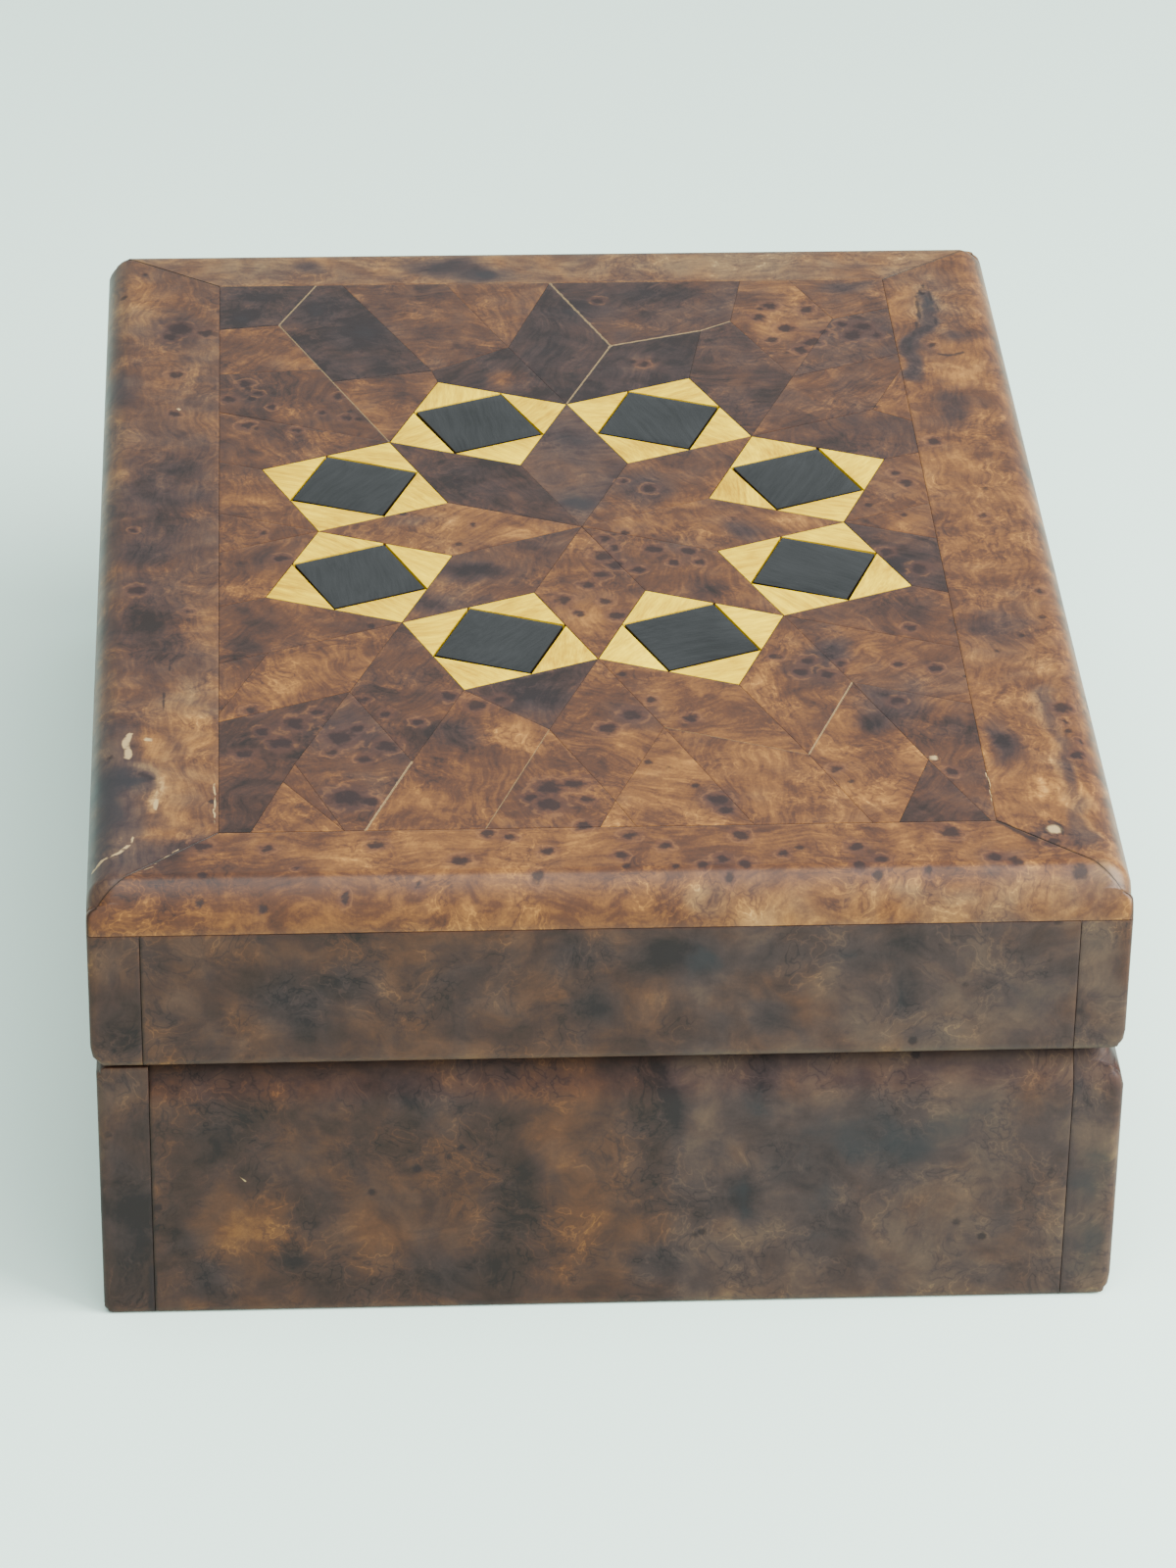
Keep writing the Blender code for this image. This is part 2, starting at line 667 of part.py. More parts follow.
def build_hinges(base, lid, drills):
    half = HINGE_LENGTH / 2
    lid_half = LID_KNUCKLE / 2
    base_end = lid_half + FIT_GAP
    base_leaf = leaf_mesh("hinge_leaf_base", -1, [(-half, -base_end), (base_end, half)])
    lid_leaf = leaf_mesh("hinge_leaf_lid", 1, [(-lid_half, lid_half)])
    pin_profile = [(0, -half), (PIN_RADIUS, -half), (PIN_RADIUS, half), (0, half)]
    pin_mesh = mesh_from(turned(pin_profile), "hinge_pin", "brass")
    screw_mesh = mesh_from(turned(screw_profile()), "hinge_screw", "brass")
    for place_name, centre_y in HINGE_PLACES.items():
        for leaf, body, label in ((base_leaf, base, "base"), (lid_leaf, lid, "lid")):
            obj = place(f"hinge_{place_name}_{label}_leaf", leaf, body, (0, centre_y, 0))
            cut_with(obj, [drills[place_name]])
            shade_round(obj)
        pin = place(f"hinge_{place_name}_pin", pin_mesh, base, (PIVOT_X, centre_y, PIVOT_Z))
        pin.rotation_euler = (math.pi / 2, 0, 0)
        shade_round(pin)
        for body, label, level, flip in (
            (base, "base", BASE_TOP, 0.0),
            (lid, "lid", LID_BOTTOM, math.pi),
        ):
            for number, offset in enumerate((-SCREW_OFFSET, SCREW_OFFSET), start=1):
                name = f"screw_{place_name}_{label}_{number}"
                screw = place(name, screw_mesh, body, (SCREW_X, centre_y + offset, level))
                screw.rotation_euler = (flip, 0, 0)
                shade_round(screw)


def main():
    clear_scene()
    base = make_empty("base_body", Vector((0, 0, 0)))
    lid = make_empty("lid_hinge_axis", Vector((PIVOT_X, 0, PIVOT_Z)))
    recesses = {name: recess_cutter(name, y) for name, y in HINGE_PLACES.items()}
    drills = {name: drill_cutter(name, y) for name, y in HINGE_PLACES.items()}
    cutters = [*recesses.values(), *drills.values()]
    build_base(base, cutters)
    build_lid_boards(lid, cutters)
    build_core_panel(lid)
    build_rails(lid)
    build_squares(lid)
    build_kites(lid)
    build_field(lid)
    build_hinges(base, lid, drills)


main()
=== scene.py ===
"""The looks of the inlaid wooden box: boards, rails, marquetry, hinges, light and camera.

Sizes are in millimetres. The frame gives the outside of each body, and meshes are made in metres.
"""

import math
import random
from collections import namedtuple

import bmesh
import bpy
import numpy as np
from mathutils import Euler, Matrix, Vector, noise


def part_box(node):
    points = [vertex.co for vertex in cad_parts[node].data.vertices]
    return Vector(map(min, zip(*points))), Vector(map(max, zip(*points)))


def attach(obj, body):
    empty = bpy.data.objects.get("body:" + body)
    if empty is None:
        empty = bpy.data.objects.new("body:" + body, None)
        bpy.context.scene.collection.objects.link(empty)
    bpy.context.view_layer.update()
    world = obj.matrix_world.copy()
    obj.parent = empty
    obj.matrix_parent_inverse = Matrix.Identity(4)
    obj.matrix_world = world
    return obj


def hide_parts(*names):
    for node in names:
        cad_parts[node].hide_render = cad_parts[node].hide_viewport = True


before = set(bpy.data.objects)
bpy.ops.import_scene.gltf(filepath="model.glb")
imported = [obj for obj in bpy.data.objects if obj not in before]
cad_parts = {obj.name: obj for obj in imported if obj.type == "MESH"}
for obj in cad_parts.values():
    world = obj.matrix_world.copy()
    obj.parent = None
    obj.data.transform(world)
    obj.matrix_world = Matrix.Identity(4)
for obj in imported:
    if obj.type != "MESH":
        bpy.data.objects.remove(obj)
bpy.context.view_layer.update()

MM = 0.001

# ---- Driving dimensions

BOARD = 5.5
BOARD_GRID = 1.25
TOP_GRID = 0.6
JOINT_GAP = 0.015
EASED_EDGE = 0.12
VENEER_RIM = 0.06
VENEER_DROP = 0.012
HOUSING_GAP = 0.3
LEAF_SEAT = 0.85

FINGER_CHAMFER_IN = 2.2
FINGER_CHAMFER_DOWN = 4.3
LID_RELIEF_IN = 1.2
LID_RELIEF_UP = 1.7
BASE_RELIEF_IN = 0.7
BASE_RELIEF_DOWN = 1.1
SIDE_RAIL_ROUND = (3.0, 3.0, 1.7)
NEAR_RAIL_ROUND = (3.6, 5.2, 1.35)
FAR_RAIL_ROUND = (2.4, 2.4, 2.0)

STAR_POINTS = 8
STAR_X = 0.5
STAR_Y = 2.5
STAR_TURN = 0.5
STAR_RING_RADIUS = 30.3
POINT_SIDE = 16.3
TILE_OUTLINE = 0.06

Box = namedtuple("Box", "left near bottom right far top")


# ---- Places, from the frame


def span(*nodes):
    """The box round some CAD nodes, in millimetres."""
    corners = [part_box(node) for node in nodes]
    low = [min(pair[0][axis] for pair in corners) / MM for axis in range(3)]
    high = [max(pair[1][axis] for pair in corners) / MM for axis in range(3)]
    return Box(*low, *high)


RAILS = ("top_rail_near", "top_rail_far", "top_rail_hinge_side", "top_rail_opening_side")
LID_BOARDS = ("lid_near_end", "lid_far_end", "lid_hinge_side", "lid_opening_side")
BASE_BOARDS = ("base_near_end", "base_far_end", "base_hinge_side", "base_opening_side")

LID = span(*LID_BOARDS, *RAILS)
BASE = span(*BASE_BOARDS)
RAIL_BOTTOM = span("top_rail_near").bottom
FIELD = Box(
    span("top_rail_hinge_side").right,
    span("top_rail_near").far,
    span("field_burl_1").bottom,
    span("top_rail_opening_side").left,
    span("top_rail_far").near,
    LID.top,
)


# ---- Surfaces made from grids


def steps(low, high, size, fine=(0.12, 0.4, 0.9)):
    """Grid lines from low to high, with closer lines at both ends where the edges are eased."""
    count = max(1, round((high - low) / size))
    wanted = [low, high]
    wanted += [low + offset for offset in fine] + [high - offset for offset in fine]
    wanted += list(np.linspace(low, high, count + 1)[1:-1])
    kept = []
    for value in wanted:
        if low <= value <= high and all(abs(value - other) > 0.08 for other in kept):
            kept.append(value)
    return np.array(sorted(kept))


def middles(lines):
    return (lines[1:] + lines[:-1]) / 2


def lattice(xs, ys, zs, hollows=()):
    """The closed surface round the cells of a grid, less the cells inside the hollow boxes."""
    cx, cy, cz = np.meshgrid(middles(xs), middles(ys), middles(zs), indexing="ij")
    filled = np.ones(cx.shape, bool)
    for box in hollows:
        inside = (cx > box.left) & (cx < box.right) & (cy > box.near) & (cy < box.far)
        filled &= ~(inside & (cz > box.bottom) & (cz < box.top))
    padded = np.pad(filled, 1).astype(int)
    sizes = np.array([len(xs), len(ys), len(zs)])
    strides = np.array([sizes[1] * sizes[2], sizes[2], 1])
    quads = []
    for axis in range(3):
        u, v = (axis + 1) % 3, (axis + 2) % 3
        change = np.diff(padded, axis=axis)
        for direction in (1, -1):
            cell = np.argwhere(change == direction)
            cell[:, u] -= 1
            cell[:, v] -= 1
            start = cell @ strides
            loop = [start, start + strides[u], start + strides[u] + strides[v], start + strides[v]]
            if direction == 1:
                loop.reverse()
            quads.append(np.stack(loop, axis=1))
    quads = np.concatenate(quads)
    used, quads = np.unique(quads, return_inverse=True)
    gx, gy, gz = np.meshgrid(xs, ys, zs, indexing="ij")
    points = np.stack([gx.ravel()[used], gy.ravel()[used], gz.ravel()[used]], axis=1)
    return points, quads.reshape(-1, 4)


ROUND = 2.0
BEVEL = 1.0


def round_edge(depth_a, depth_b, reach_a, reach_b, power):
    """Pulls the points near an edge in to an elliptical round, a flat bevel, or between the two.

    The depths are measured in from the two faces that meet at the edge. Points that were only
    eased off those faces go right on to the round."""
    a = 1 - depth_a / reach_a
    b = 1 - depth_b / reach_b
    near = (a > 0) & (b > 0)
    length = (np.maximum(a, 0) ** power + np.maximum(b, 0) ** power) ** (1 / power)
    outer = np.maximum(a, b)
    outer = np.where(outer > 1 - EASED_EDGE / 2 / max(reach_a, reach_b), 1.0, outer)
    scale = np.where(near, outer / np.maximum(length, 1e-9), 1.0)
    new_a = np.where(near, reach_a * (1 - a * scale), depth_a)
    new_b = np.where(near, reach_b * (1 - b * scale), depth_b)
    return new_a, new_b


class Form:
    """Points inside a box, which rounds and chamfers between its faces pull in."""

    FACES = {
        "left": (0, 1), "right": (0, -1), "near": (1, 1), "far": (1, -1), "bottom": (2, 1), "top": (2, -1),
    }

    def __init__(self, points, box):
        self.points = points
        self.box = box

    def depth(self, face):
        axis, sign = self.FACES[face]
        return (self.points[:, axis] - getattr(self.box, face)) * sign

    def put(self, face, depth):
        axis, sign = self.FACES[face]
        self.points[:, axis] = getattr(self.box, face) + depth * sign

    def edge(self, face_a, face_b, reach_a, reach_b=None, power=ROUND):
        depth_a, depth_b = round_edge(
            self.depth(face_a), self.depth(face_b), reach_a, reach_b or reach_a, power
        )
        self.put(face_a, depth_a)
        self.put(face_b, depth_b)


def box_of(points):
    return Box(*points.min(axis=0), *points.max(axis=0))


def ease_edges(points, reach=EASED_EDGE):
    """Takes the sharpness off the twelve edges of one block."""
    form = Form(points, box_of(points))
    sides = (("left", "right"), ("near", "far"), ("bottom", "top"))
    for one, other in ((0, 1), (1, 2), (0, 2)):
        for face_a in sides[one]:
            for face_b in sides[other]:
                form.edge(face_a, face_b, reach)


def shape_lid(points):
    """The outside of the lid: worn corners, rounded rails, and the lip over the base."""
    form = Form(points, LID)
    for face_a, face_b, reach in (
        ("left", "near", 0.6), ("right", "near", 0.5), ("right", "far", 0.6), ("left", "far", 2.6),
    ):
        form.edge(face_a, face_b, reach)
    form.edge("left", "top", *SIDE_RAIL_ROUND)
    form.edge("right", "top", *SIDE_RAIL_ROUND)
    form.edge("near", "top", *NEAR_RAIL_ROUND)
    form.edge("far", "top", *FAR_RAIL_ROUND)
    form.edge("right", "bottom", 2.2)
    form.edge("near", "bottom", 1.0)
    form.edge("far", "bottom", 1.0)
    form.edge("left", "bottom", LID_RELIEF_IN, LID_RELIEF_UP, power=BEVEL)


def shape_base(points, gripped=True):
    """The outside of the base: the finger chamfer, the relief at the hinges, and the worn foot.

    The hinge-side board isn't gripped, so the chamfer stops at it."""
    form = Form(points, BASE)
    for face_a, face_b, reach in (
        ("left", "near", 0.7), ("right", "near", 0.9), ("right", "far", 0.8), ("left", "far", 0.8),
    ):
        form.edge(face_a, face_b, reach)
    if gripped:
        for face in ("right", "near", "far"):
            form.edge(face, "top", FINGER_CHAMFER_IN, FINGER_CHAMFER_DOWN, power=BEVEL)
    form.edge("left", "top", BASE_RELIEF_IN, BASE_RELIEF_DOWN, power=BEVEL)
    form.edge("right", "bottom", 2.0)
    form.edge("left", "bottom", 1.2)
    form.edge("near", "bottom", 0.7)
    form.edge("far", "bottom", 0.7)


def fractal(points, size, seed=0.0, detail=3):
    """Smooth noise, about -1 to 1, with lumps of the given size."""
    offset = Vector((seed * 17.3, seed * 31.7, seed * 7.9))
    return np.array([
        noise.fractal(Vector(p) / size + offset, 0.9, 2.1, detail) for p in points
    ])


def drift(points, size, amount, seed=0.0):
    """Points moved about by smooth noise, so that marks drawn with them have natural outlines."""
    offset = Vector((seed * 13.1, seed * 5.7, seed * 23.9))
    shift = [noise.noise_vector(Vector(p) / size + offset) for p in points]
    return points + amount * np.array(shift)


# ---- Figure: marks in the wood, listed in millimetres

Tone = namedtuple("Tone", "light grey")

# Eyes are small dark knots: x, y or z, radius
NEAR_RAIL_EYES = (
    (-43, -66, 1.1), (-36, -66.5, 0.8), (-24.7, -66, 1.0), (-16, -69.5, 1.1), (-12.8, -64.2, 0.8),
    (-10.5, -64.8, 0.7), (-6.8, -68, 0.8), (-8, -72, 0.7), (-2.7, -63, 0.9), (-28, -73.3, 0.5),
    (1, -69, 0.8), (2.2, -65, 0.9), (5.8, -67.2, 0.8), (9.3, -71, 0.7), (11.5, -69.8, 0.9),
    (12.2, -72.4, 0.6), (13.8, -65.3, 1.0), (14, -71, 0.8), (18, -69, 0.7), (25.7, -68, 0.9),
    (25.8, -71.5, 0.7), (28.2, -70.5, 0.9), (27.8, -72.5, 0.6), (36, -65.3, 1.2), (40, -70.5, 0.9),
    (42.3, -71, 0.9), (-33, -70.5, 0.5), (-20.5, -72.6, 0.5), (33, -72, 0.5),
)
RIGHT_RAIL_EYES = (
    (43.3, 22.3, 0.9), (51, -40, 1.1), (51.5, -50, 0.9), (49, -72.3, 0.9), (46.8, -67.5, 1.0),
    (50.8, -43, 0.6), (52, -47, 0.6), (47, 4, 0.6), (51.5, -14, 0.7), (45.5, 47, 0.6),
)
LEFT_RAIL_EYES = (
    (-46, 53.5, 1.6), (-47.2, 51.5, 1.0), (-42.8, 52.5, 1.0), (-46.5, 41.5, 0.9), (-46.5, 31.5, 0.8),
    (-51, 3, 0.6), (-50.5, -11, 1.1), (-44.5, -16, 0.6),
)
FIELD_EYES = (
    (28, 52, 1.1), (31, 48.2, 1.1), (29.4, 46.2, 0.9), (25, 55, 0.9), (26.5, 58, 1.0), (31, 57, 1.0),
    (32.5, 51, 0.8), (26, 49, 0.8), (36, 50, 1.3), (37.5, 52.3, 1.2), (39, 50, 1.0), (35, 53, 0.8),
    (5.5, 60, 0.8), (10, 43, 0.8), (-38, 39, 0.9), (-40, 35, 0.9), (-38, 28.5, 0.9), (-27, 35.5, 0.8),
    (-36.5, 36.5, 0.7), (-26, 30, 0.8), (-29, 31.5, 0.6), (-35, 33, 0.6), (-32, 27, 0.7),
    (-33, -41, 1.3), (-34.5, -45, 1.3), (-38.5, -47, 1.0), (-30.5, -38.5, 0.9), (-36.5, -42.5, 0.9),
    (-37.5, -38, 0.9), (-23, -39, 0.8), (-25.5, -36, 0.8), (-28, -44, 1.6), (-23, -46, 1.3),
    (-26, -42.2, 0.9), (-25.5, -48.5, 0.9), (-29, -47, 0.8), (-27.5, -56.5, 1.8), (-25, -57.5, 1.0),
    (-16, -35.5, 1.0), (-13, -37.5, 1.2), (-10.5, -36.5, 0.9), (-19.5, -41, 0.8),
    (-6, -55, 1.4), (-3.2, -54.5, 1.2), (-6, -58.5, 1.5), (-8, -57, 0.9), (-2, -57.6, 0.8),
    (12, -58, 1.2), (12.6, -60.3, 0.9), (4, -40, 1.3), (1, -43, 1.1), (10, -41, 0.9), (6, -37, 0.7),
    (24, -29, 1.0), (23, -31.5, 0.9), (26, -32, 0.9), (20.5, -28, 0.7), (27.5, -29.6, 0.7),
    (33, -38, 0.9), (36, -22, 0.8), (38, -31, 0.8), (34, -30, 0.7), (37.5, -53, 0.8), (25, -52, 0.8),
    (39, 12, 0.9), (37.8, 14.5, 0.7), (35, -4.5, 0.9), (38.5, -8.5, 1.1), (-36, 2, 0.6), (-34, -4, 0.8),
)
KITE_EYES = (
    (8.6, -3.2, 1.0), (12.4, -3.6, 0.9), (2.4, -4.5, 1.1), (4, -6.6, 1.0), (3, -0.5, 0.9), (5.5, 1, 0.6),
    (2.2, -8.8, 0.9), (3.9, -2.6, 0.7), (6.4, -7.8, 0.8), (10.5, -6.2, 0.7), (13.4, -6.3, 0.7),
    (-2.5, -14.5, 1.1), (2.3, -15, 0.8), (3.5, -18.2, 1.0), (0.5, -11, 0.9), (-1, -17.5, 0.6),
    (-20, 6.3, 0.7), (-12, 3.2, 0.5), (8.8, 11.5, 0.9), (5.8, 13.4, 0.6), (18, 4, 0.5),
)

# Clouds are soft patches: x, y, reach in x, reach in y, turn in degrees, lighter, greyer
TOP_CLOUDS = (
    # hinge-side rail
    (-51.5, 57, 3, 18, 0, 0.10, 0.0), (-46, 53, 4, 4, 0, -0.30, 0.2), (-53, 38, 3, 4, 0, -0.25, 0.5),
    (-48, 8, 7, 20, 0, -0.22, 0.10), (-49, -20, 5, 12, 10, -0.30, 0.05), (-53, 16, 2, 6, 0, 0.20, 0.1),
    (-53.0, -57, 4.2, 17, 0, -0.16, 0.9), (-49, -68, 4, 3, 40, -0.14, 0.6), (-50.5, -52, 3, 4, 0, -0.1, 0.4),
    (-44.6, -52, 2.8, 12, 0, -0.02, 0.10),
    (-45, -36, 4, 8, 0, 0.10, 0.2), (-44.5, -66, 2.5, 1.6, 40, -0.3, 0.3),
    (-44.5, 40, 2.5, 9, 0, 0.04, 0.2), (-50, -3, 3, 3, 0, -0.20, 0.3), (-45, 18, 3, 5, 20, -0.10, 0.1),
    # opening-side rail
    (46.5, 60, 5, 12, 0, 0.10, 0.45), (49, 50, 4, 3, 0, -0.18, 0.5), (48.5, 40, 4, 5, 0, 0.16, -0.1),
    (46.5, 31, 4, 6, 0, -0.28, 0.35), (47, 12, 5, 11, 0, 0.10, -0.1), (46, -22, 5, 6, 0, -0.25, 0.35),
    (43.6, -47, 2.2, 6, 0, -0.38, 0.6), (49, -33, 3, 7, 0, 0.10, 0.0), (47, -57, 3, 4, 0, 0.16, -0.1),
    (50.5, -52, 2, 4, 0, -0.12, 0.2), (44.5, 47, 2, 2.5, 0, -0.2, 0.4),
    # near rail
    (-40, -71, 9, 4, 0, -0.12, -0.1), (-12, -66, 6, 3, 0, 0.06, 0.0), (12, -70, 6, 3, 0, -0.06, 0.2),
    (27, -70, 4, 2.5, 0, -0.10, 0.3), (41, -70.5, 3.5, 2, 0, -0.06, 0.5), (33, -66, 5, 2, 0, 0.10, 0.0),
    (-28, -68, 5, 4, 0, 0.10, 0.0), (-47, -72, 4, 3, 40, -0.15, 0.0),
    # far rail
    (-13, 70, 6, 3, 0, -0.35, 0.6), (-8, 67.5, 4, 2, 0, -0.35, 0.6), (-30, 70, 2, 2, 0, -0.3, 0.4),
    (20, 70, 14, 4, 0, 0.12, 0.3), (-38, 70, 6, 4, 0, 0.05, 0.2),
    # field, far and hinge side
    (-24, 51, 4, 4, 0, -0.22, 0.5), (-29, 59, 3.5, 4, 0, -0.20, 0.5), (-38.5, 56.5, 2.5, 2, 0, -0.3, 0.5),
    (-36, 62, 2.5, 2, 0, -0.25, 0.4), (-7, 39, 3, 3, 0, 0.25, -0.3), (10, 43, 3.5, 3, 0, 0.30, -0.2),
    (4, 58, 6, 4, 20, -0.2, 0.4), (12, 62, 7, 3, 0, -0.22, 0.4), (36, 63, 4, 1.8, 0, -0.3, 0.5),
    (37, 51, 3.5, 3.5, 0, -0.2, 0.4), (28, 52, 4, 5, 0, 0.10, -0.1), (-2, 46, 3, 8, 0, -0.12, 0.2),
    (-25, 28, 4, 5, 0, 0.12, -0.1), (-38, 37, 3, 5, 0, -0.14, 0.1), (-22, 44, 3, 3, 0, -0.1, 0.2),
    # field, near side
    (-38, -60, 4, 4, 0, -0.06, 0.0), (-27.5, -56.5, 3.4, 3, 0, -0.36, 0.5), (-28, -43, 4, 4, 0, -0.14, 0.5),
    (-33, -33, 4, 5, 0, 0.14, -0.2), (-16, -44, 4, 5, 30, -0.32, 0.2), (-8, -44, 3, 6, 0, 0.14, -0.1),
    (-20, -57, 4, 5, 20, 0.16, -0.3), (-6, -57, 4.5, 4, 0, -0.16, 0.1), (-7, -36, 4, 4, 0, -0.2, 0.4),
    (3, -46, 3, 6, 0, 0.14, -0.2), (4, -40, 4.5, 3, 0, -0.18, 0.3), (12, -58.5, 2.6, 3.4, 20, -0.34, 0.6),
    (17, -50, 5, 5, 0, 0.05, 0.0), (22, -60, 6, 2, -20, -0.10, 0.0), (19, -31, 4, 5, 0, 0.16, -0.3),
    (24, -31, 4.5, 4, 0, -0.26, 0.4), (27, -27, 3, 3.5, 0, -0.28, 0.6), (33, -38, 5, 4, 0, -0.2, 0.6),
    (36, -30, 2, 6, 10, 0.14, 0.1), (30, -57, 5, 3, 0, 0.16, -0.3), (33, -46, 3, 3, 0, 0.1, -0.2),
    (30.5, -42, 3, 3, 0, -0.3, 0.5), (38.5, -44, 2.5, 3, 0, -0.15, 0.2), (38, -17, 3, 4, 0, -0.1, 0.2),
    (37, 2, 4, 4, 0, 0.12, -0.2), (36, -8, 4, 4, 0, -0.18, 0.3), (-34, -13, 5, 5, 0, 0.1, -0.2),
    (-37, 10, 3, 3, 0, 0.14, -0.1), (-36, -4, 4, 4, 0, -0.1, 0.1), (-38, -24, 3, 4, 0, -0.2, 0.2),
    # kites
    (7.5, 12, 4, 4.5, 0, -0.28, 0.5), (20, 1.5, 3.5, 2, 0, -0.18, 0.4), (26, 2.8, 4, 2, 0, 0.16, -0.2),
    (14, -12.5, 3, 3.5, 30, -0.22, 0.2), (3.5, -5, 3, 6, 0, -0.14, 0.2), (-12.5, -8, 3.2, 2.6, 0, -0.32, 0.4),
    (-18, -15, 3, 3.4, 0, -0.28, 0.3), (-18, 4.8, 4, 2, 0, 0.02, 0.5), (-7, 1, 4, 2.5, 0, 0.16, 0.0),
    (-13, 15.5, 5, 5, 0, -0.12, 0.2), (0, 24, 3, 5, 0, -0.06, 0.4), (0.3, 9, 4, 4, 0, -0.08, 0.5),
    (0, -20, 3, 5, 0, 0.12, -0.1), (11, -3, 4, 3, 0, -0.06, 0.2), (13, 8, 4, 3, 30, 0.1, -0.2),
)

# Clouds on the near faces: x, z, reach in x, reach in z, turn in degrees, lighter, greyer
NEAR_FACE_CLOUDS = (
    # lid
    (-33.5, 40, 4.5, 3.5, 0, -0.34, 0.8), (-28, 43, 5, 3, 0, -0.15, 0.5), (-4.5, 46, 4, 2.5, 0, -0.25, 0.6),
    (-1.7, 39.6, 3, 3.5, 0, -0.22, 0.7), (8, 45, 11, 2.2, 0, -0.28, 0.6), (26, 46, 8, 1.8, 0, -0.16, 0.5),
    (30.6, 40.3, 1.0, 5, 0, -0.34, 0.6), (16.8, 37.6, 1.6, 3, 0, -0.28, 0.6), (3.6, 38, 2.4, 3, 0, 0.14, 0.1),
    (20.5, 41, 3.5, 5, 0, 0.16, 0.1), (35.5, 40.3, 3.6, 5, 0, 0.14, 0.2), (-4.2, 41, 1.6, 3, 0, 0.10, 0.2),
    (-36, 46.4, 8, 1.6, 0, 0.20, 0.1), (-17, 42, 6, 4, 0, 0.02, 0.1), (44, 42, 5, 6, 0, 0.02, 0.3),
    (11, 41, 3, 4, 0, 0.08, 0.1), (-46, 40, 3, 5, 0, 0.06, 0.2), (51.5, 41, 3.5, 9, 0, 0.22, 0.5),
    (-52.3, 36, 3.4, 6, 0, -0.16, 0.1), (-52.3, 45.5, 3, 3, 0, 0.14, 0.4),
    # base
    (-38.6, 11, 6, 4.5, 0, 0.26, -0.2), (-24.8, 10.6, 4, 4, 0, 0.22, -0.2), (-28.4, 24, 5, 3, 0, 0.16, -0.1),
    (-7, 22, 2.6, 7, 10, 0.22, -0.1), (-3.5, 12, 3.4, 8, -12, 0.22, -0.1), (-10.5, 12, 3, 8, -14, -0.16, 0.2),
    (2.7, 16.4, 3.4, 4, 0, 0.12, -0.1), (9.6, 24.7, 2.0, 3.6, 0, 0.26, 0.1), (13.5, 9.6, 3.6, 3, 0, 0.16, -0.1),
    (37.4, 12, 5, 4, 0, 0.10, 0.0), (-34.9, 7, 2, 2, 0, -0.28, 0.2), (-42.9, 4.4, 3, 2.4, 0, -0.22, 0.7),
    (6.3, 25.6, 1.2, 4.5, 0, -0.26, 0.5), (14.6, 14, 1.6, 5, 10, -0.24, 0.5), (16, 27, 2.4, 4, 0, -0.22, 0.6),
    (5.6, 5.8, 3, 2.4, 0, -0.24, 0.7), (27, 21, 10, 6, 10, -0.16, 0.8), (22, 12, 5, 6, 0, -0.12, 0.4),
    (-20, 27.5, 6, 2, 0, -0.14, 0.5), (-42, 24, 5, 4, 0, -0.12, 0.2), (-17, 5, 7, 3, 0, -0.14, 0.3),
    (40, 24, 5, 4, 0, 0.04, 0.5), (45, 8, 4, 6, 0, -0.04, 0.2), (-46, 12, 2, 8, 0, -0.12, 0.2),
    (-52, 28, 3.2, 3.4, 30, 0.30, 0.2), (-52, 12, 3.4, 9, 0, -0.24, 0.3), (52, 14, 3.2, 16, 0, 0.16, 0.4),
    (52.6, 29, 3, 3.6, 0, 0.24, 0.0),
)

# Bands are soft-edged streaks of figure, and the first two are a painted sheen on the near rail's round. Each gives
# half width, lighter, greyer, then the points they run through
TOP_STREAKS_AND_SHEEN = (
    # painted sheen: a lighter, greyer band on the right half of the near rail's round, where light reflects
    (1.5, 0.07, 0.45, ((8, -73.7), (30, -74.0), (53, -73.6))),
    (0.9, 0.06, 0.10, ((30, -73.2), (53, -72.9))),
    (1.3, 0.18, -0.10, ((-49.2, -43.4), (-47.4, -45.4), (-46.2, -49.5), (-45.6, -55), (-45.6, -61))),
    (0.6, 0.30, 0.10, ((-50.6, -48.6), (-48.6, -49.6), (-47.4, -51.8), (-47.4, -55.5), (-47.8, -58.6))),
    (1.6, 0.12, -0.15, ((-43.4, -40), (-43.2, -50), (-42.9, -61))),
    (1.0, 0.16, 0.0, ((-49.6, -63.4), (-47.4, -62.6), (-45.8, -63.6))),
    (0.7, -0.20, 0.2, ((-54.8, -52.6), (-51.5, -52), (-48.6, -51.6))),
    (0.9, -0.30, 0.75, ((46.1, 61), (46.0, 57), (45.3, 52.5), (43.8, 49), (42.6, 45), (42.2, 38))),
    (1.3, -0.10, 0.4, ((49.3, -37), (49.0, -46), (49.2, -53), (50.4, -60), (50.0, -67))),
    (0.5, 0.22, -0.1, ((48.2, -38), (48.0, -47), (48.4, -53), (49.6, -60))),
    (0.45, 0.20, -0.1, ((50.6, -52), (51.4, -58), (51.2, -66))),
    (0.8, -0.35, 0.3, ((47, -65), (45.6, -66), (44.6, -67.6))),
)
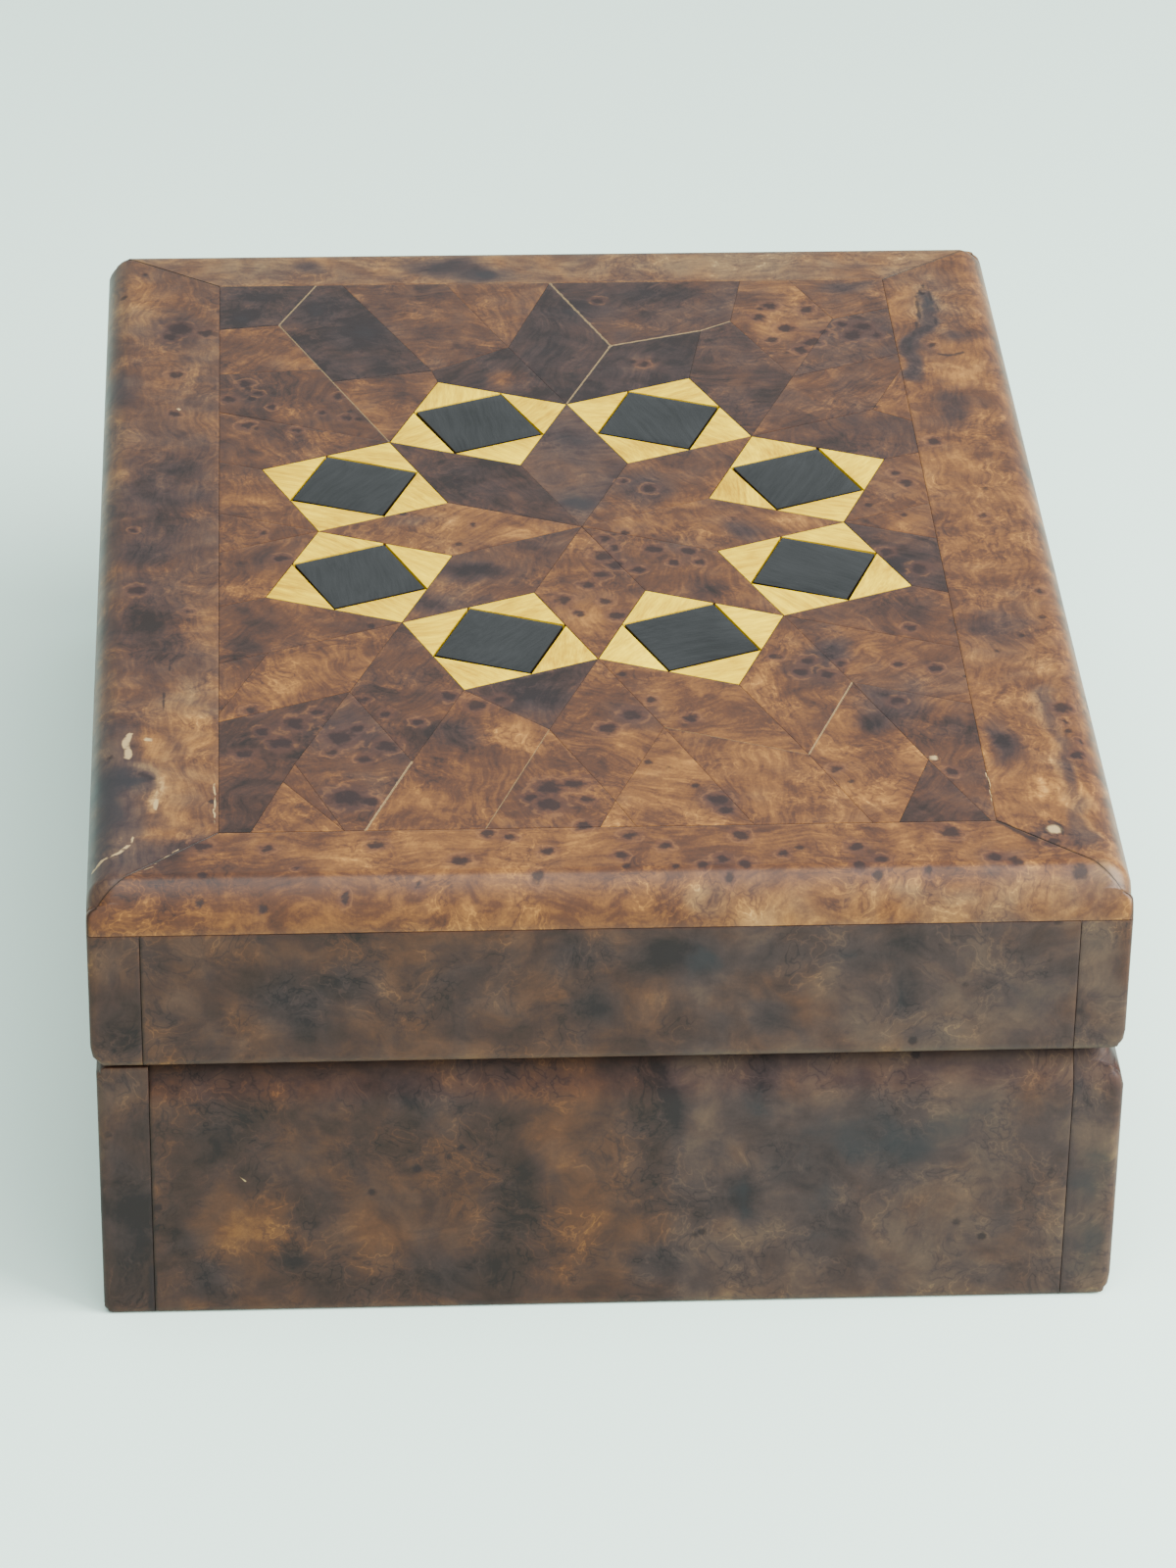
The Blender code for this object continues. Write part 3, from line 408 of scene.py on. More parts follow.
# Pale lines are sapwood or filler in the wood: half width, then the points they run through
PALE_LINES = (
    (0.38, ((-50.7, -42.6), (-51.1, -44), (-50.9, -46.4), (-50.9, -47.6))),
    (0.30, ((-49.1, -43.6), (-48.4, -44.0))),
    (0.22, ((-47.7, -56), (-47.9, -58.6))),
    (0.22, ((-50.0, -63.6), (-50.6, -65.6), (-51.4, -66.9), (-53.2, -67.6), (-54.2, -68.4))),
    (0.10, ((-41.6, -53), (-41.6, -61.4))),
    (0.07, ((-45.2, -66.2), (-47, -68.4), (-49.2, -70.8))),
    (0.06, ((41.2, -53), (41.0, -61))),
)
DARK_LINES = (
    (0.24, ((46.2, 63.4), (45.1, 60.4), (44.8, 56), (44.0, 51.4), (42.6, 47.4))),
    (0.20, ((46.3, 62.4), (47.2, 57), (46.4, 52))),
    (0.28, ((41.3, -63.4), (42.6, -64.8), (44.6, -67.2))),
    (0.30, ((46.2, 44.6), (48.0, 44.4), (49.2, 45.0))),
    (0.22, ((33, 33), (35, 31.4), (37.5, 31.2))),
    (0.16, ((-47.6, -20), (-46.6, -28), (-47.2, -36), (-46.8, -41))),
    (0.20, ((-49.6, -45.6), (-48.6, -45.3))),
    (0.30, ((-49.4, -51.0), (-48.2, -52.0))),
    (0.18, ((46.0, -64.2), (46.6, -63.6), (47.6, -63.7), (48.1, -65), (47.8, -66.3), (46.6, -66.5), (46.0, -65.2))),
)
# The same on the near faces
SCRATCHES = (
    (0.13, ((-45.3, 40.6), (-44.9, 38.6))), (0.10, ((-45.0, 37.2), (-44.6, 36.6))),
    (0.14, ((-41.6, 19.6), (-39.6, 18.4), (-38.8, 17.0))), (0.10, ((-37.4, 17.6), (-37.0, 16.2))),
    (0.09, ((-34.8, 15.8), (-34.6, 13.6))), (0.08, ((-22.2, 21.0), (-22.0, 19.6))),
    (0.08, ((-11.2, 22.0), (-11.0, 20.6))),
)
CRACKS = (
    (0.40, ((-49.35, 0.6), (-49.2, 3.6), (-49.3, 6.2))),
    (0.16, ((-47, 27.3), (-34, 27.8), (-20, 27.5), (-6, 27.9))),
    (0.12, ((6, 27.8), (22, 27.6), (30, 27.9))),
)
WHITE_FLECKS = ((47.1, -65.1, 0.85), (35.8, -50.1, 0.5), (-46, 32.6, 0.35))


NOWHERE = 9.0
CLOUD_STRENGTH = 1.1


def polyline_distance(plan, line):
    """Each point's distance from a line of straight stretches."""
    best = np.full(len(plan), 1e9)
    for start, end in zip(line, line[1:]):
        start, end = np.array(start, float), np.array(end, float)
        along = end - start
        share = np.clip((plan - start) @ along / (along @ along), 0, 1)
        gap = plan - (start + share[:, None] * along)
        best = np.minimum(best, np.hypot(gap[:, 0], gap[:, 1]))
    return best


def nearest_ratio(plan, marks):
    """The distance to the nearest round mark, as a share of that mark's radius."""
    best = np.full(len(plan), NOWHERE)
    for x, y, radius in marks:
        best = np.minimum(best, np.hypot(plan[:, 0] - x, plan[:, 1] - y) / radius)
    return best


def nearest_line(plan, lines):
    best = np.full(len(plan), NOWHERE)
    for half_width, line in lines:
        best = np.minimum(best, polyline_distance(plan, line) / half_width)
    return best


def add_clouds(plan, clouds, light, grey, strength):
    """Adds soft patches to the two tones. Strength fades them away from the face they are drawn on."""
    for x, y, reach_x, reach_y, turn, lighter, greyer in clouds:
        c, s = math.cos(math.radians(turn)), math.sin(math.radians(turn))
        dx, dy = plan[:, 0] - x, plan[:, 1] - y
        ratio = np.hypot((c * dx + s * dy) / reach_x, (c * dy - s * dx) / reach_y)
        weight = CLOUD_STRENGTH * np.clip(1.25 - ratio, 0, 1) ** 1.3 * strength
        light += lighter * weight
        grey += greyer * weight


def add_bands(plan, bands, light, grey):
    """Adds soft-edged bands along lines to the two tones."""
    for half_width, lighter, greyer, line in bands:
        weight = np.clip(1.5 - polyline_distance(plan, line) / half_width, 0, 1)
        light += lighter * weight
        grey += greyer * weight


def grain_frame(rng, turn=None):
    """A turn and a shift, so that each piece is cut from its own part of the log."""
    angle = rng.uniform(0, math.tau) if turn is None else turn
    rotation = Euler((rng.uniform(-0.2, 0.2), rng.uniform(-0.2, 0.2), angle)).to_matrix()
    shift = [rng.uniform(-400, 400) for _ in range(3)]
    return np.array(rotation), np.array(shift)


def burl_values(points, tone, rng, cloudiness=0.11, turn=None):
    """What the burl material reads at each point: tones, eyes, pale and dark lines, and the figure's place."""
    rotation, shift = grain_frame(rng, turn)
    figure = points @ rotation + shift
    light = tone.light + cloudiness * fractal(figure, 7.0, 1) + 0.05 * fractal(figure, 2.4, 2)
    grey = tone.grey + 0.22 * fractal(figure, 9.0, 3)
    on_top = np.clip((points[:, 2] - RAIL_BOTTOM - 0.3) / 1.0, 0, 1)
    on_near = np.clip((LID.near + 5.0 - points[:, 1]) / 3.0, 0, 1) * (1 - on_top)
    moved = drift(drift(points, 5.0, 1.5), 1.6, 0.45)
    add_clouds(moved[:, :2], TOP_CLOUDS, light, grey, on_top)
    add_clouds(moved[:, ::2], NEAR_FACE_CLOUDS, light, grey, 0.75 * on_near)
    # the bands add streaks of figure, and the painted sheen along the near rail
    add_bands(moved[:, :2], TOP_STREAKS_AND_SHEEN, light, grey)
    slightly = drift(points, 1.1, 0.28)
    plan, face = slightly[:, :2], slightly[:, ::2]
    top, near = on_top > 0.5, on_near > 0.5
    top_eyes = NEAR_RAIL_EYES + RIGHT_RAIL_EYES + LEFT_RAIL_EYES + FIELD_EYES + KITE_EYES
    eye = np.where(top, nearest_ratio(plan, top_eyes), NOWHERE)
    pale = np.where(top, nearest_line(plan, PALE_LINES), NOWHERE)
    pale = np.minimum(pale, np.where(top, nearest_ratio(points[:, :2], WHITE_FLECKS), NOWHERE))
    pale = np.minimum(pale, np.where(near, nearest_line(face, SCRATCHES), NOWHERE))
    dark = np.where(top, nearest_line(plan, DARK_LINES), NOWHERE)
    dark = np.minimum(dark, np.where(near, nearest_line(face, CRACKS), NOWHERE))
    return {"figure": figure, "light": light, "grey": grey, "eye": eye, "pale": pale, "dark": dark}


def straight_values(points, rng, turn):
    rotation, shift = grain_frame(rng, turn)
    return {"figure": points @ rotation + shift}


def store(mesh, values):
    """Keeps the values on the mesh, where the materials read them."""
    for name, numbers in values.items():
        is_vector = numbers.ndim == 2
        attribute = mesh.attributes.new(name, "FLOAT_VECTOR" if is_vector else "FLOAT", "POINT")
        flat = np.ascontiguousarray(numbers, dtype=np.float32).ravel()
        attribute.data.foreach_set("vector" if is_vector else "value", flat)


# ---- Materials


class Nodes:
    """Short ways to add and join shader nodes."""

    def __init__(self, name):
        self.material = bpy.data.materials.new(name)
        self.material.use_nodes = True
        self.tree = self.material.node_tree
        self.shader = self.tree.nodes["Principled BSDF"]

    def add(self, kind, **settings):
        node = self.tree.nodes.new(kind)
        for key, value in settings.items():
            setattr(node, key, value)
        return node

    def put(self, socket, value):
        """Links an output to a socket, or sets the socket's number."""
        if isinstance(value, bpy.types.NodeSocket):
            self.tree.links.new(value, socket)
        else:
            socket.default_value = value

    def coordinates_mm(self):
        """Object coordinates in millimetres, for the CAD nodes, which carry no figure of their own."""
        place = self.add("ShaderNodeTexCoord").outputs["Object"]
        return self.vector("SCALE", place, scale=1 / MM)

    def red(self, colour):
        node = self.add("ShaderNodeSeparateColor")
        self.put(node.inputs[0], colour)
        return node.outputs[0]

    def attribute(self, name, output="Fac"):
        return self.add("ShaderNodeAttribute", attribute_name=name).outputs[output]

    def math(self, operation, a, b=0.0, c=0.0, clamp=False):
        node = self.add("ShaderNodeMath", operation=operation, use_clamp=clamp)
        for socket, value in zip(node.inputs, (a, b, c)):
            self.put(socket, value)
        return node.outputs[0]

    def vector(self, operation, a, b=(0, 0, 0), scale=1.0):
        node = self.add("ShaderNodeVectorMath", operation=operation)
        self.put(node.inputs[0], a)
        if operation == "SCALE":
            self.put(node.inputs["Scale"], scale)
        else:
            self.put(node.inputs[1], b)
        return node.outputs[0]

    def noise(self, place, scale, detail=2.0, rough=0.5, output="Fac"):
        node = self.add("ShaderNodeTexNoise")
        self.put(node.inputs["Vector"], place)
        node.inputs["Scale"].default_value = scale
        node.inputs["Detail"].default_value = detail
        node.inputs["Roughness"].default_value = rough
        return node.outputs[output]

    def fade(self, value, start, end):
        """1 where the value is at start, 0 where it is at end, smooth between."""
        node = self.add("ShaderNodeMapRange", interpolation_type="SMOOTHSTEP")
        for socket, number in zip(node.inputs, (value, start, end, 1.0, 0.0)):
            self.put(socket, number)
        return node.outputs[0]

    def ramp(self, value, stops):
        node = self.add("ShaderNodeValToRGB")
        elements = node.color_ramp.elements
        while len(elements) < len(stops):
            elements.new(0.5)
        for element, (position, colour) in zip(elements, stops):
            element.position = position
            element.color = (*colour, 1)
        self.put(node.inputs[0], value)
        return node.outputs[0]

    def mix(self, share, a, b, blend="MIX"):
        node = self.add("ShaderNodeMix", data_type="RGBA", blend_type=blend)
        self.put(node.inputs[0], share)
        for socket, value in ((node.inputs[6], a), (node.inputs[7], b)):
            self.put(socket, value if isinstance(value, bpy.types.NodeSocket) else (*value, 1))
        return node.outputs[2]

    def bump(self, height, strength, distance):
        node = self.add("ShaderNodeBump")
        node.inputs["Strength"].default_value = strength
        node.inputs["Distance"].default_value = distance * MM
        self.put(node.inputs["Height"], height)
        self.put(self.shader.inputs["Normal"], node.outputs[0])

    def finish(self, colour, roughness, **constants):
        self.put(self.shader.inputs["Base Color"], colour)
        self.put(self.shader.inputs["Roughness"], roughness)
        for key, value in constants.items():
            self.shader.inputs[key].default_value = value
        return self.material


BURL_STOPS = (
    (0.00, (0.014, 0.008, 0.007)),
    (0.20, (0.034, 0.016, 0.012)),
    (0.40, (0.070, 0.028, 0.014)),
    (0.58, (0.148, 0.060, 0.018)),
    (0.76, (0.290, 0.128, 0.028)),
    (1.00, (0.520, 0.280, 0.072)),
)
GREY_STOPS = (
    (0.00, (0.014, 0.009, 0.010)),
    (0.25, (0.037, 0.022, 0.021)),
    (0.50, (0.074, 0.044, 0.031)),
    (0.75, (0.165, 0.100, 0.047)),
    (1.00, (0.380, 0.260, 0.115)),
)
BLUE_GREY = (0.018, 0.017, 0.020)
EYE_COLOUR = (0.016, 0.010, 0.011)
HALO_COLOUR = (0.075, 0.032, 0.022)
RING_COLOUR = (0.36, 0.16, 0.050)
PALE_COLOUR = (0.40, 0.28, 0.13)
GLUE_COLOUR = (0.010, 0.006, 0.004)


def burl_material(name, roughness, specular, coat, contrast):
    """Thuya burl under lacquer. The mesh says how light and how grey each place is."""
    n = Nodes(name)
    figure = n.attribute("figure", "Vector")
    swirl = n.noise(figure, 0.10, 2.0, 0.5, "Color")
    swirl = n.vector("SCALE", n.vector("SUBTRACT", swirl, (0.5, 0.5, 0.5)), scale=8.0)
    flow = n.vector("ADD", figure, swirl)
    fibre_place = n.vector("MULTIPLY", flow, (1.7, 0.13, 0.6))
    fibre = n.noise(fibre_place, 1.0, 5.0, 0.62)
    mottle = n.noise(flow, 0.26, 5.0, 0.62)
    speck = n.noise(figure, 2.6, 3.0, 0.65)
    blotch = n.fade(n.noise(flow, 0.15, 3.0, 0.6), 0.38, 0.50)

    curl = n.noise(flow, 0.42, 3.0, 0.5)
    places = n.fade(n.noise(figure, 0.13, 2.0, 0.5), 0.60, 0.42)
    dark_curl = n.fade(n.math("ABSOLUTE", n.math("SUBTRACT", curl, 0.44)), 0.0, 0.035)
    pale_curl = n.fade(n.math("ABSOLUTE", n.math("SUBTRACT", curl, 0.56)), 0.0, 0.030)
    curls = n.math("MULTIPLY", n.math("SUBTRACT", pale_curl, dark_curl), places)

    light = n.math("MULTIPLY_ADD", curls, 0.13, n.attribute("light"))
    light = n.math("MULTIPLY_ADD", blotch, -0.10 * contrast, light)
    for texture, amount in ((mottle, 0.60), (fibre, 0.50), (speck, 0.24)):
        light = n.math("MULTIPLY_ADD", n.math("SUBTRACT", texture, 0.5), amount * contrast, light)
    patch = n.noise(flow, 0.30, 2.0, 0.5)
    grey = n.math("MULTIPLY_ADD", n.math("SUBTRACT", patch, 0.5), 0.7, n.attribute("grey"))
    colour = n.mix(n.fade(grey, 1.0, 0.0), n.ramp(light, BURL_STOPS), n.ramp(light, GREY_STOPS))
    blue = n.math("MULTIPLY", n.fade(grey, 1.45, 0.95), 0.75)
    colour = n.mix(blue, colour, BLUE_GREY)

    cells = n.add("ShaderNodeTexVoronoi", feature="F1")
    n.put(cells.inputs["Vector"], n.vector("ADD", figure, n.vector("SCALE", swirl, scale=0.05)))
    cells.inputs["Scale"].default_value = 0.34
    chance = n.math("GREATER_THAN", n.red(cells.outputs["Color"]), 0.72)
    cluster = n.fade(n.noise(figure, 0.07, 1.0, 0.5), 0.58, 0.50)
    small = n.fade(n.math("ADD", cells.outputs["Distance"], n.math("MULTIPLY", speck, 0.12)), 0.16, 0.30)
    small = n.math("MULTIPLY", small, n.math("MULTIPLY", chance, cluster))

    lumpy = n.noise(figure, 1.1, 2.0, 0.5)
    ragged = n.math("MULTIPLY_ADD", n.math("SUBTRACT", lumpy, 0.5), 1.3, n.attribute("eye"))
    eye = n.fade(ragged, 0.55, 1.2)
    ring = n.fade(n.math("ABSOLUTE", n.math("SUBTRACT", ragged, 1.5)), 0.0, 0.3)
    ring = n.math("MULTIPLY", ring, n.fade(n.noise(figure, 0.5, 1.0, 0.5), 0.56, 0.46))
    colour = n.mix(n.math("MULTIPLY", n.fade(ragged, 0.9, 2.3), 0.45), colour, HALO_COLOUR)
    colour = n.mix(n.math("MULTIPLY", ring, 0.16), colour, RING_COLOUR)
    eye = n.math("MAXIMUM", eye, small)
    colour = n.mix(n.math("MULTIPLY", eye, 0.84), colour, EYE_COLOUR)

    pale_edge = n.math("MULTIPLY_ADD", n.math("SUBTRACT", speck, 0.5), 0.35, n.attribute("pale"))
    pale = n.fade(pale_edge, 0.7, 1.3)
    colour = n.mix(n.math("MULTIPLY", pale, 0.9), colour, PALE_COLOUR)
    dark_edge = n.math("MULTIPLY_ADD", n.math("SUBTRACT", speck, 0.5), 0.9, n.attribute("dark"))
    colour = n.mix(n.math("MULTIPLY", n.fade(dark_edge, 0.5, 1.6), 0.8), colour, EYE_COLOUR)
    seam = n.attribute("seam")
    colour = n.mix(n.math("MULTIPLY", seam, 0.9), colour, GLUE_COLOUR)

    height = n.math("MULTIPLY_ADD", fibre, 0.25, n.math("MULTIPLY", speck, 0.12))
    height = n.math("SUBTRACT", height, n.math("MULTIPLY", eye, 0.5))
    wave = n.noise(figure, 0.16, 1.0, 0.4)
    n.bump(n.math("MULTIPLY_ADD", wave, 2.2, height), 0.35, 0.10)
    smear = n.noise(figure, 0.4, 3.0, 0.6)
    rough = n.math("MULTIPLY_ADD", smear, 0.16, roughness)
    rough = n.math("MULTIPLY_ADD", eye, 0.12, rough)
    return n.finish(
        colour, rough, **{"Coat Weight": coat, "Coat Roughness": 0.2, "Specular IOR Level": specular}
    )


def straight_wood(name, dark, light, line_scale, contrast, roughness, coat):
    """Straight-grained wood: lemonwood, ebony, or the plain wood of the panels."""
    n = Nodes(name)
    place = n.attribute("figure", "Vector") if coat else n.coordinates_mm()
    bend = n.noise(place, 0.06, 2.0, 0.5, "Color")
    bend = n.vector("SCALE", n.vector("SUBTRACT", bend, (0.5, 0.5, 0.5)), scale=5.0)
    flow = n.vector("ADD", place, bend)
    lines = n.noise(n.vector("MULTIPLY", flow, (line_scale, 0.05, line_scale)), 1.0, 4.0, 0.65)
    pores = n.noise(n.vector("MULTIPLY", place, (5.0, 0.6, 5.0)), 1.0, 2.0, 0.5)
    clouds = n.noise(place, 0.12, 2.0, 0.5)
    share = n.math("MULTIPLY_ADD", n.math("SUBTRACT", lines, 0.5), contrast, 0.5)
    share = n.math("MULTIPLY_ADD", n.math("SUBTRACT", clouds, 0.5), 0.8 * contrast, share)
    share = n.math("MULTIPLY_ADD", n.math("SUBTRACT", pores, 0.5), 0.5 * contrast, share, clamp=True)
    colour = n.mix(share, dark, light)
    if coat:
        colour = n.mix(n.math("MULTIPLY", n.attribute("seam"), 0.9), colour, GLUE_COLOUR)
    n.bump(n.math("ADD", lines, pores), 0.25, 0.06)
    rough = n.math("MULTIPLY_ADD", pores, 0.2, roughness - 0.1)
    return n.finish(colour, rough, **{"Coat Weight": coat, "Coat Roughness": 0.2, "Specular IOR Level": 0.2})


def brass_material():
    """Thin hinge brass, dulled with handling."""
    n = Nodes("dull_brass")
    place = n.coordinates_mm()
    tarnish = n.noise(place, 0.7, 4.0, 0.65)
    brushed = n.noise(n.vector("MULTIPLY", place, (14.0, 0.5, 4.0)), 1.0, 2.0, 0.5)
    share = n.fade(tarnish, 0.62, 0.42)
    colour = n.mix(share, (0.26, 0.15, 0.055), (0.72, 0.50, 0.20))
    n.bump(brushed, 0.2, 0.03)
    rough = n.math("MULTIPLY_ADD", brushed, 0.2, n.math("MULTIPLY_ADD", share, -0.14, 0.38))
    return n.finish(colour, rough, **{"Metallic": 1.0})



BURL = burl_material("polished_burl", 0.33, 0.24, 0.04, 1.0)
WORN_BURL = burl_material("worn_burl", 0.42, 0.15, 0.0, 0.6)
LEMONWOOD = straight_wood("lemonwood", (0.46, 0.25, 0.000), (0.98, 0.68, 0.000), 1.3, 1.5, 0.5, 0.02)
EBONY = straight_wood("ebony", (0.008, 0.009, 0.010), (0.024, 0.026, 0.028), 2.2, 1.2, 0.42, 0.1)
PLAIN_WOOD = straight_wood("plain_wood", (0.16, 0.075, 0.032), (0.34, 0.19, 0.09), 1.2, 1.3, 0.62, 0.0)
BRASS = brass_material()


# ---- Pieces


def make_piece(name, parts, material, body, nodes, crease=40):
    """A new piece of the given body that stands for some CAD nodes.

    Each part has its points in millimetres, its faces, and the values its material reads."""
    points = np.concatenate([part[0] for part in parts])
    faces = []
    start = 0
    for part_points, part_faces, _ in parts:
        faces += [[int(corner) + start for corner in face] for face in part_faces]
        start += len(part_points)
    mesh = bpy.data.meshes.new(name)
    mesh.from_pydata((points * MM).tolist(), [], faces)
    mesh.shade_smooth()
    mesh.set_sharp_from_angle(angle=math.radians(crease))
    mesh.materials.append(material)
    store(mesh, {key: np.concatenate([part[2][key] for part in parts]) for key in parts[0][2]})
    piece = bpy.data.objects.new(name, mesh)
    bpy.context.scene.collection.objects.link(piece)
    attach(piece, body)
    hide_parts(*nodes)
    return piece


def rubbed_and_highlit_edges(points, box, amount=0.12):
    """A little lighter along the outer edges: partly a painted highlight on the edges, partly lacquer rubbed there.
    """
    form = Form(points, box)
    depths = np.sort(np.stack([np.abs(form.depth(face)) for face in Form.FACES]), axis=0)
    return amount * np.clip(1.2 - depths[1] / 1.5, 0, 1)


def hinge_hollows():
    """The housings of the two hinges, which both hinge-side boards are cut away for."""
    hollows = []
    for place in ("near", "far"):
        pin = span(f"hinge_{place}_pin")
        leaves = span(f"hinge_{place}_base_leaf", f"hinge_{place}_lid_leaf")
        near, far = leaves.near - HOUSING_GAP, leaves.far + HOUSING_GAP
        pivot_x, pivot_z = (pin.left + pin.right) / 2, (pin.bottom + pin.top) / 2
        barrel = (leaves.top - leaves.bottom) / 2 + HOUSING_GAP
        outside, inside = LID.left - BOARD, LID.left + 2 * BOARD
        hollows.append(Box(outside, near, pivot_z - barrel, pivot_x + barrel, far, pivot_z + barrel))
        hollows.append(Box(outside, near, pivot_z - LEAF_SEAT, inside, far, pivot_z + LEAF_SEAT))
    return hollows


def lined_up(lines, places):
    """Grid lines that also run along the given places."""
    places = [place for place in places if lines[0] < place < lines[-1]]
    inner = [line for line in lines[1:-1] if all(abs(line - place) > 0.1 for place in places)]
    return np.array(sorted({lines[0], lines[-1], *inner, *places}))


def build_board(node, box, body, shape, tone, seed, hollows=()):
    """One board of the base or the lid: a gridded block, eased, shaped and painted."""
    rng = random.Random(seed)
    xs = lined_up(steps(box.left, box.right, BOARD_GRID), [h.right for h in hollows])
    ys = lined_up(steps(box.near, box.far, BOARD_GRID), [y for h in hollows for y in (h.near, h.far)])
    zs = lined_up(steps(box.bottom, box.top, BOARD_GRID), [z for h in hollows for z in (h.bottom, h.top)])
    points, faces = lattice(xs, ys, zs, hollows)
    seam = joint_line(points, box, node)
    ease_edges(points)
    shape(points)
    is_long = box.far - box.near > box.right - box.left
    turn = rng.uniform(-0.2, 0.2) + (0 if is_long else math.pi / 2)
    values = burl_values(points, tone, rng, cloudiness=0.15, turn=turn)
    # painted highlight along the board edges, together with rubbed lacquer
    values["light"] += rubbed_and_highlit_edges(points, LID if body == "lid" else BASE)
    values["seam"] = seam
    make_piece(f"{node}_burl", [(points, faces, values)], WORN_BURL, body, [node])


def joint_line(points, box, node):
    """The thin line of glue where an end board meets the long boards."""
    if "end" not in node:
        return np.zeros(len(points))
    at_hinge_side = np.clip(1 - (points[:, 0] - box.left) / 0.25, 0, 1)
    at_opening_side = np.clip(1 - (box.right - points[:, 0]) / 0.25, 0, 1)
    return 0.8 * at_hinge_side + 0.15 * at_opening_side


def build_boards():
    for body, outer, low, high, shape, tones in (
        ("base", BASE, BASE.bottom, BASE.top, shape_base, BASE_TONES),
        ("lid", LID, LID.bottom, RAIL_BOTTOM - JOINT_GAP, shape_lid, LID_TONES),
    ):
        hinge_line = outer.left + BOARD
        opening_line = outer.right - BOARD
        left, right = hinge_line + JOINT_GAP, opening_line - JOINT_GAP
        boxes = {
            "hinge_side": Box(outer.left, outer.near, low, hinge_line, outer.far, high),
            "opening_side": Box(opening_line, outer.near, low, outer.right, outer.far, high),
            "near_end": Box(left, outer.near, low, right, outer.near + BOARD, high),
            "far_end": Box(left, outer.far - BOARD, low, right, outer.far, high),
        }
        for seed, (side, box) in enumerate(boxes.items(), start=11):
            hollows = hinge_hollows() if side == "hinge_side" else ()
            node = f"{body}_{side}"
            board_shape = shape_ungripped if node == "base_hinge_side" else shape
            build_board(node, box, body, board_shape, tones[side], seed, hollows)


def shape_ungripped(points):
    shape_base(points, gripped=False)


def build_rail(node, corners, tone, seed):
    """One mitred rail of the lid. Its corners run outer start, outer end, inner end, inner start."""
    rng = random.Random(seed)
    outer_start, outer_end, inner_end, inner_start = (np.array(corner, float) for corner in corners)
    along = outer_end - outer_start
    length = np.linalg.norm(along)
    along /= length
    width = abs(np.cross(along, inner_start - outer_start))
    heights = steps(RAIL_BOTTOM + JOINT_GAP / 2, LID.top, 0.8, fine=(0.1, 0.3))
    points, faces = lattice(steps(0, length, TOP_GRID), steps(0, width, TOP_GRID), heights)
    ease_edges(points)
    share, t = points[:, :1] / length, points[:, 1:2] / width
    start = outer_start + t * (inner_start - outer_start) + along * JOINT_GAP / 2
    end = outer_end + t * (inner_end - outer_end) - along * JOINT_GAP / 2
    points[:, :2] = start + share * (end - start)
    shape_lid(points)
    values = burl_values(points, tone, rng, cloudiness=0.10, turn=math.pi / 2 - math.atan2(along[1], along[0]))
    values["seam"] = np.clip(1 - np.minimum(share, 1 - share)[:, 0] * length / 0.25, 0, 1)
    make_piece(f"{node}_burl", [(points, faces, values)], BURL, "lid", [node])


def build_rails():
    outer = {
        "left_near": (LID.left, LID.near), "right_near": (LID.right, LID.near),
        "right_far": (LID.right, LID.far), "left_far": (LID.left, LID.far),
    }
    inner = {
        "left_near": (FIELD.left, FIELD.near), "right_near": (FIELD.right, FIELD.near),
        "right_far": (FIELD.right, FIELD.far), "left_far": (FIELD.left, FIELD.far),
    }
    for seed, (side, start, end, tone, slot) in enumerate((
        ("near", "left_near", "right_near", Tone(0.50, 0.00), "rail_burl"),
        ("opening_side", "right_near", "right_far", Tone(0.51, 0.14), "rail_burl"),
        ("far", "right_far", "left_far", Tone(0.58, 0.60), "rail_burl"),
        ("hinge_side", "left_far", "left_near", Tone(0.46, 0.42), "sapwood_burl"),
    ), start=31):
        corners = (outer[start], outer[end], inner[end], inner[start])
        build_rail(f"top_rail_{side}", corners, tone, seed)


# ---- Marquetry


def star_point(radius, degrees):
    angle = math.radians(degrees + STAR_TURN)
    return STAR_X + radius * math.cos(angle), STAR_Y + radius * math.sin(angle)


def seam_points():
    """The corners of the veneer pieces. T, O and I are the tips of the star's tiles, A and B of its rays.

    The others are where hand-cut seams end or meet, in millimetres."""
    sector = 360 / STAR_POINTS
    tile_half = STAR_RING_RADIUS * math.sin(math.radians(sector / 2))
    tile_centre = STAR_RING_RADIUS * math.cos(math.radians(sector / 2))
    spots = {"C": (STAR_X, STAR_Y)}
    for k in range(STAR_POINTS):
        spots[f"T{k}"] = star_point(STAR_RING_RADIUS, sector * k)
        spots[f"O{k}"] = star_point(tile_centre + tile_half, sector * (k + 0.5))
        spots[f"I{k}"] = star_point(tile_centre - tile_half, sector * (k + 0.5))
        for name, half in (("A", -0.5), ("B", 0.5)):
            angle = math.radians(sector * (k + half) + STAR_TURN)
            x, y = spots[f"T{k}"]
            spots[f"{name}{k}"] = (x + POINT_SIDE * math.cos(angle), y + POINT_SIDE * math.sin(angle))
    for name, y in BORDER_OPENING_SIDE.items():
        spots[name] = (FIELD.right, y)
    for name, y in BORDER_HINGE_SIDE.items():
        spots[name] = (FIELD.left, y)
    for name, x in BORDER_FAR.items():
        spots[name] = (x, FIELD.far)
    for name, x in BORDER_NEAR.items():
        spots[name] = (x, FIELD.near)
    spots.update(MEETINGS)
    spots.update({
        "left_far": (FIELD.left, FIELD.far), "right_far": (FIELD.right, FIELD.far),
        "left_near": (FIELD.left, FIELD.near), "right_near": (FIELD.right, FIELD.near),
    })
    return {name: np.array(spot) for name, spot in spots.items()}


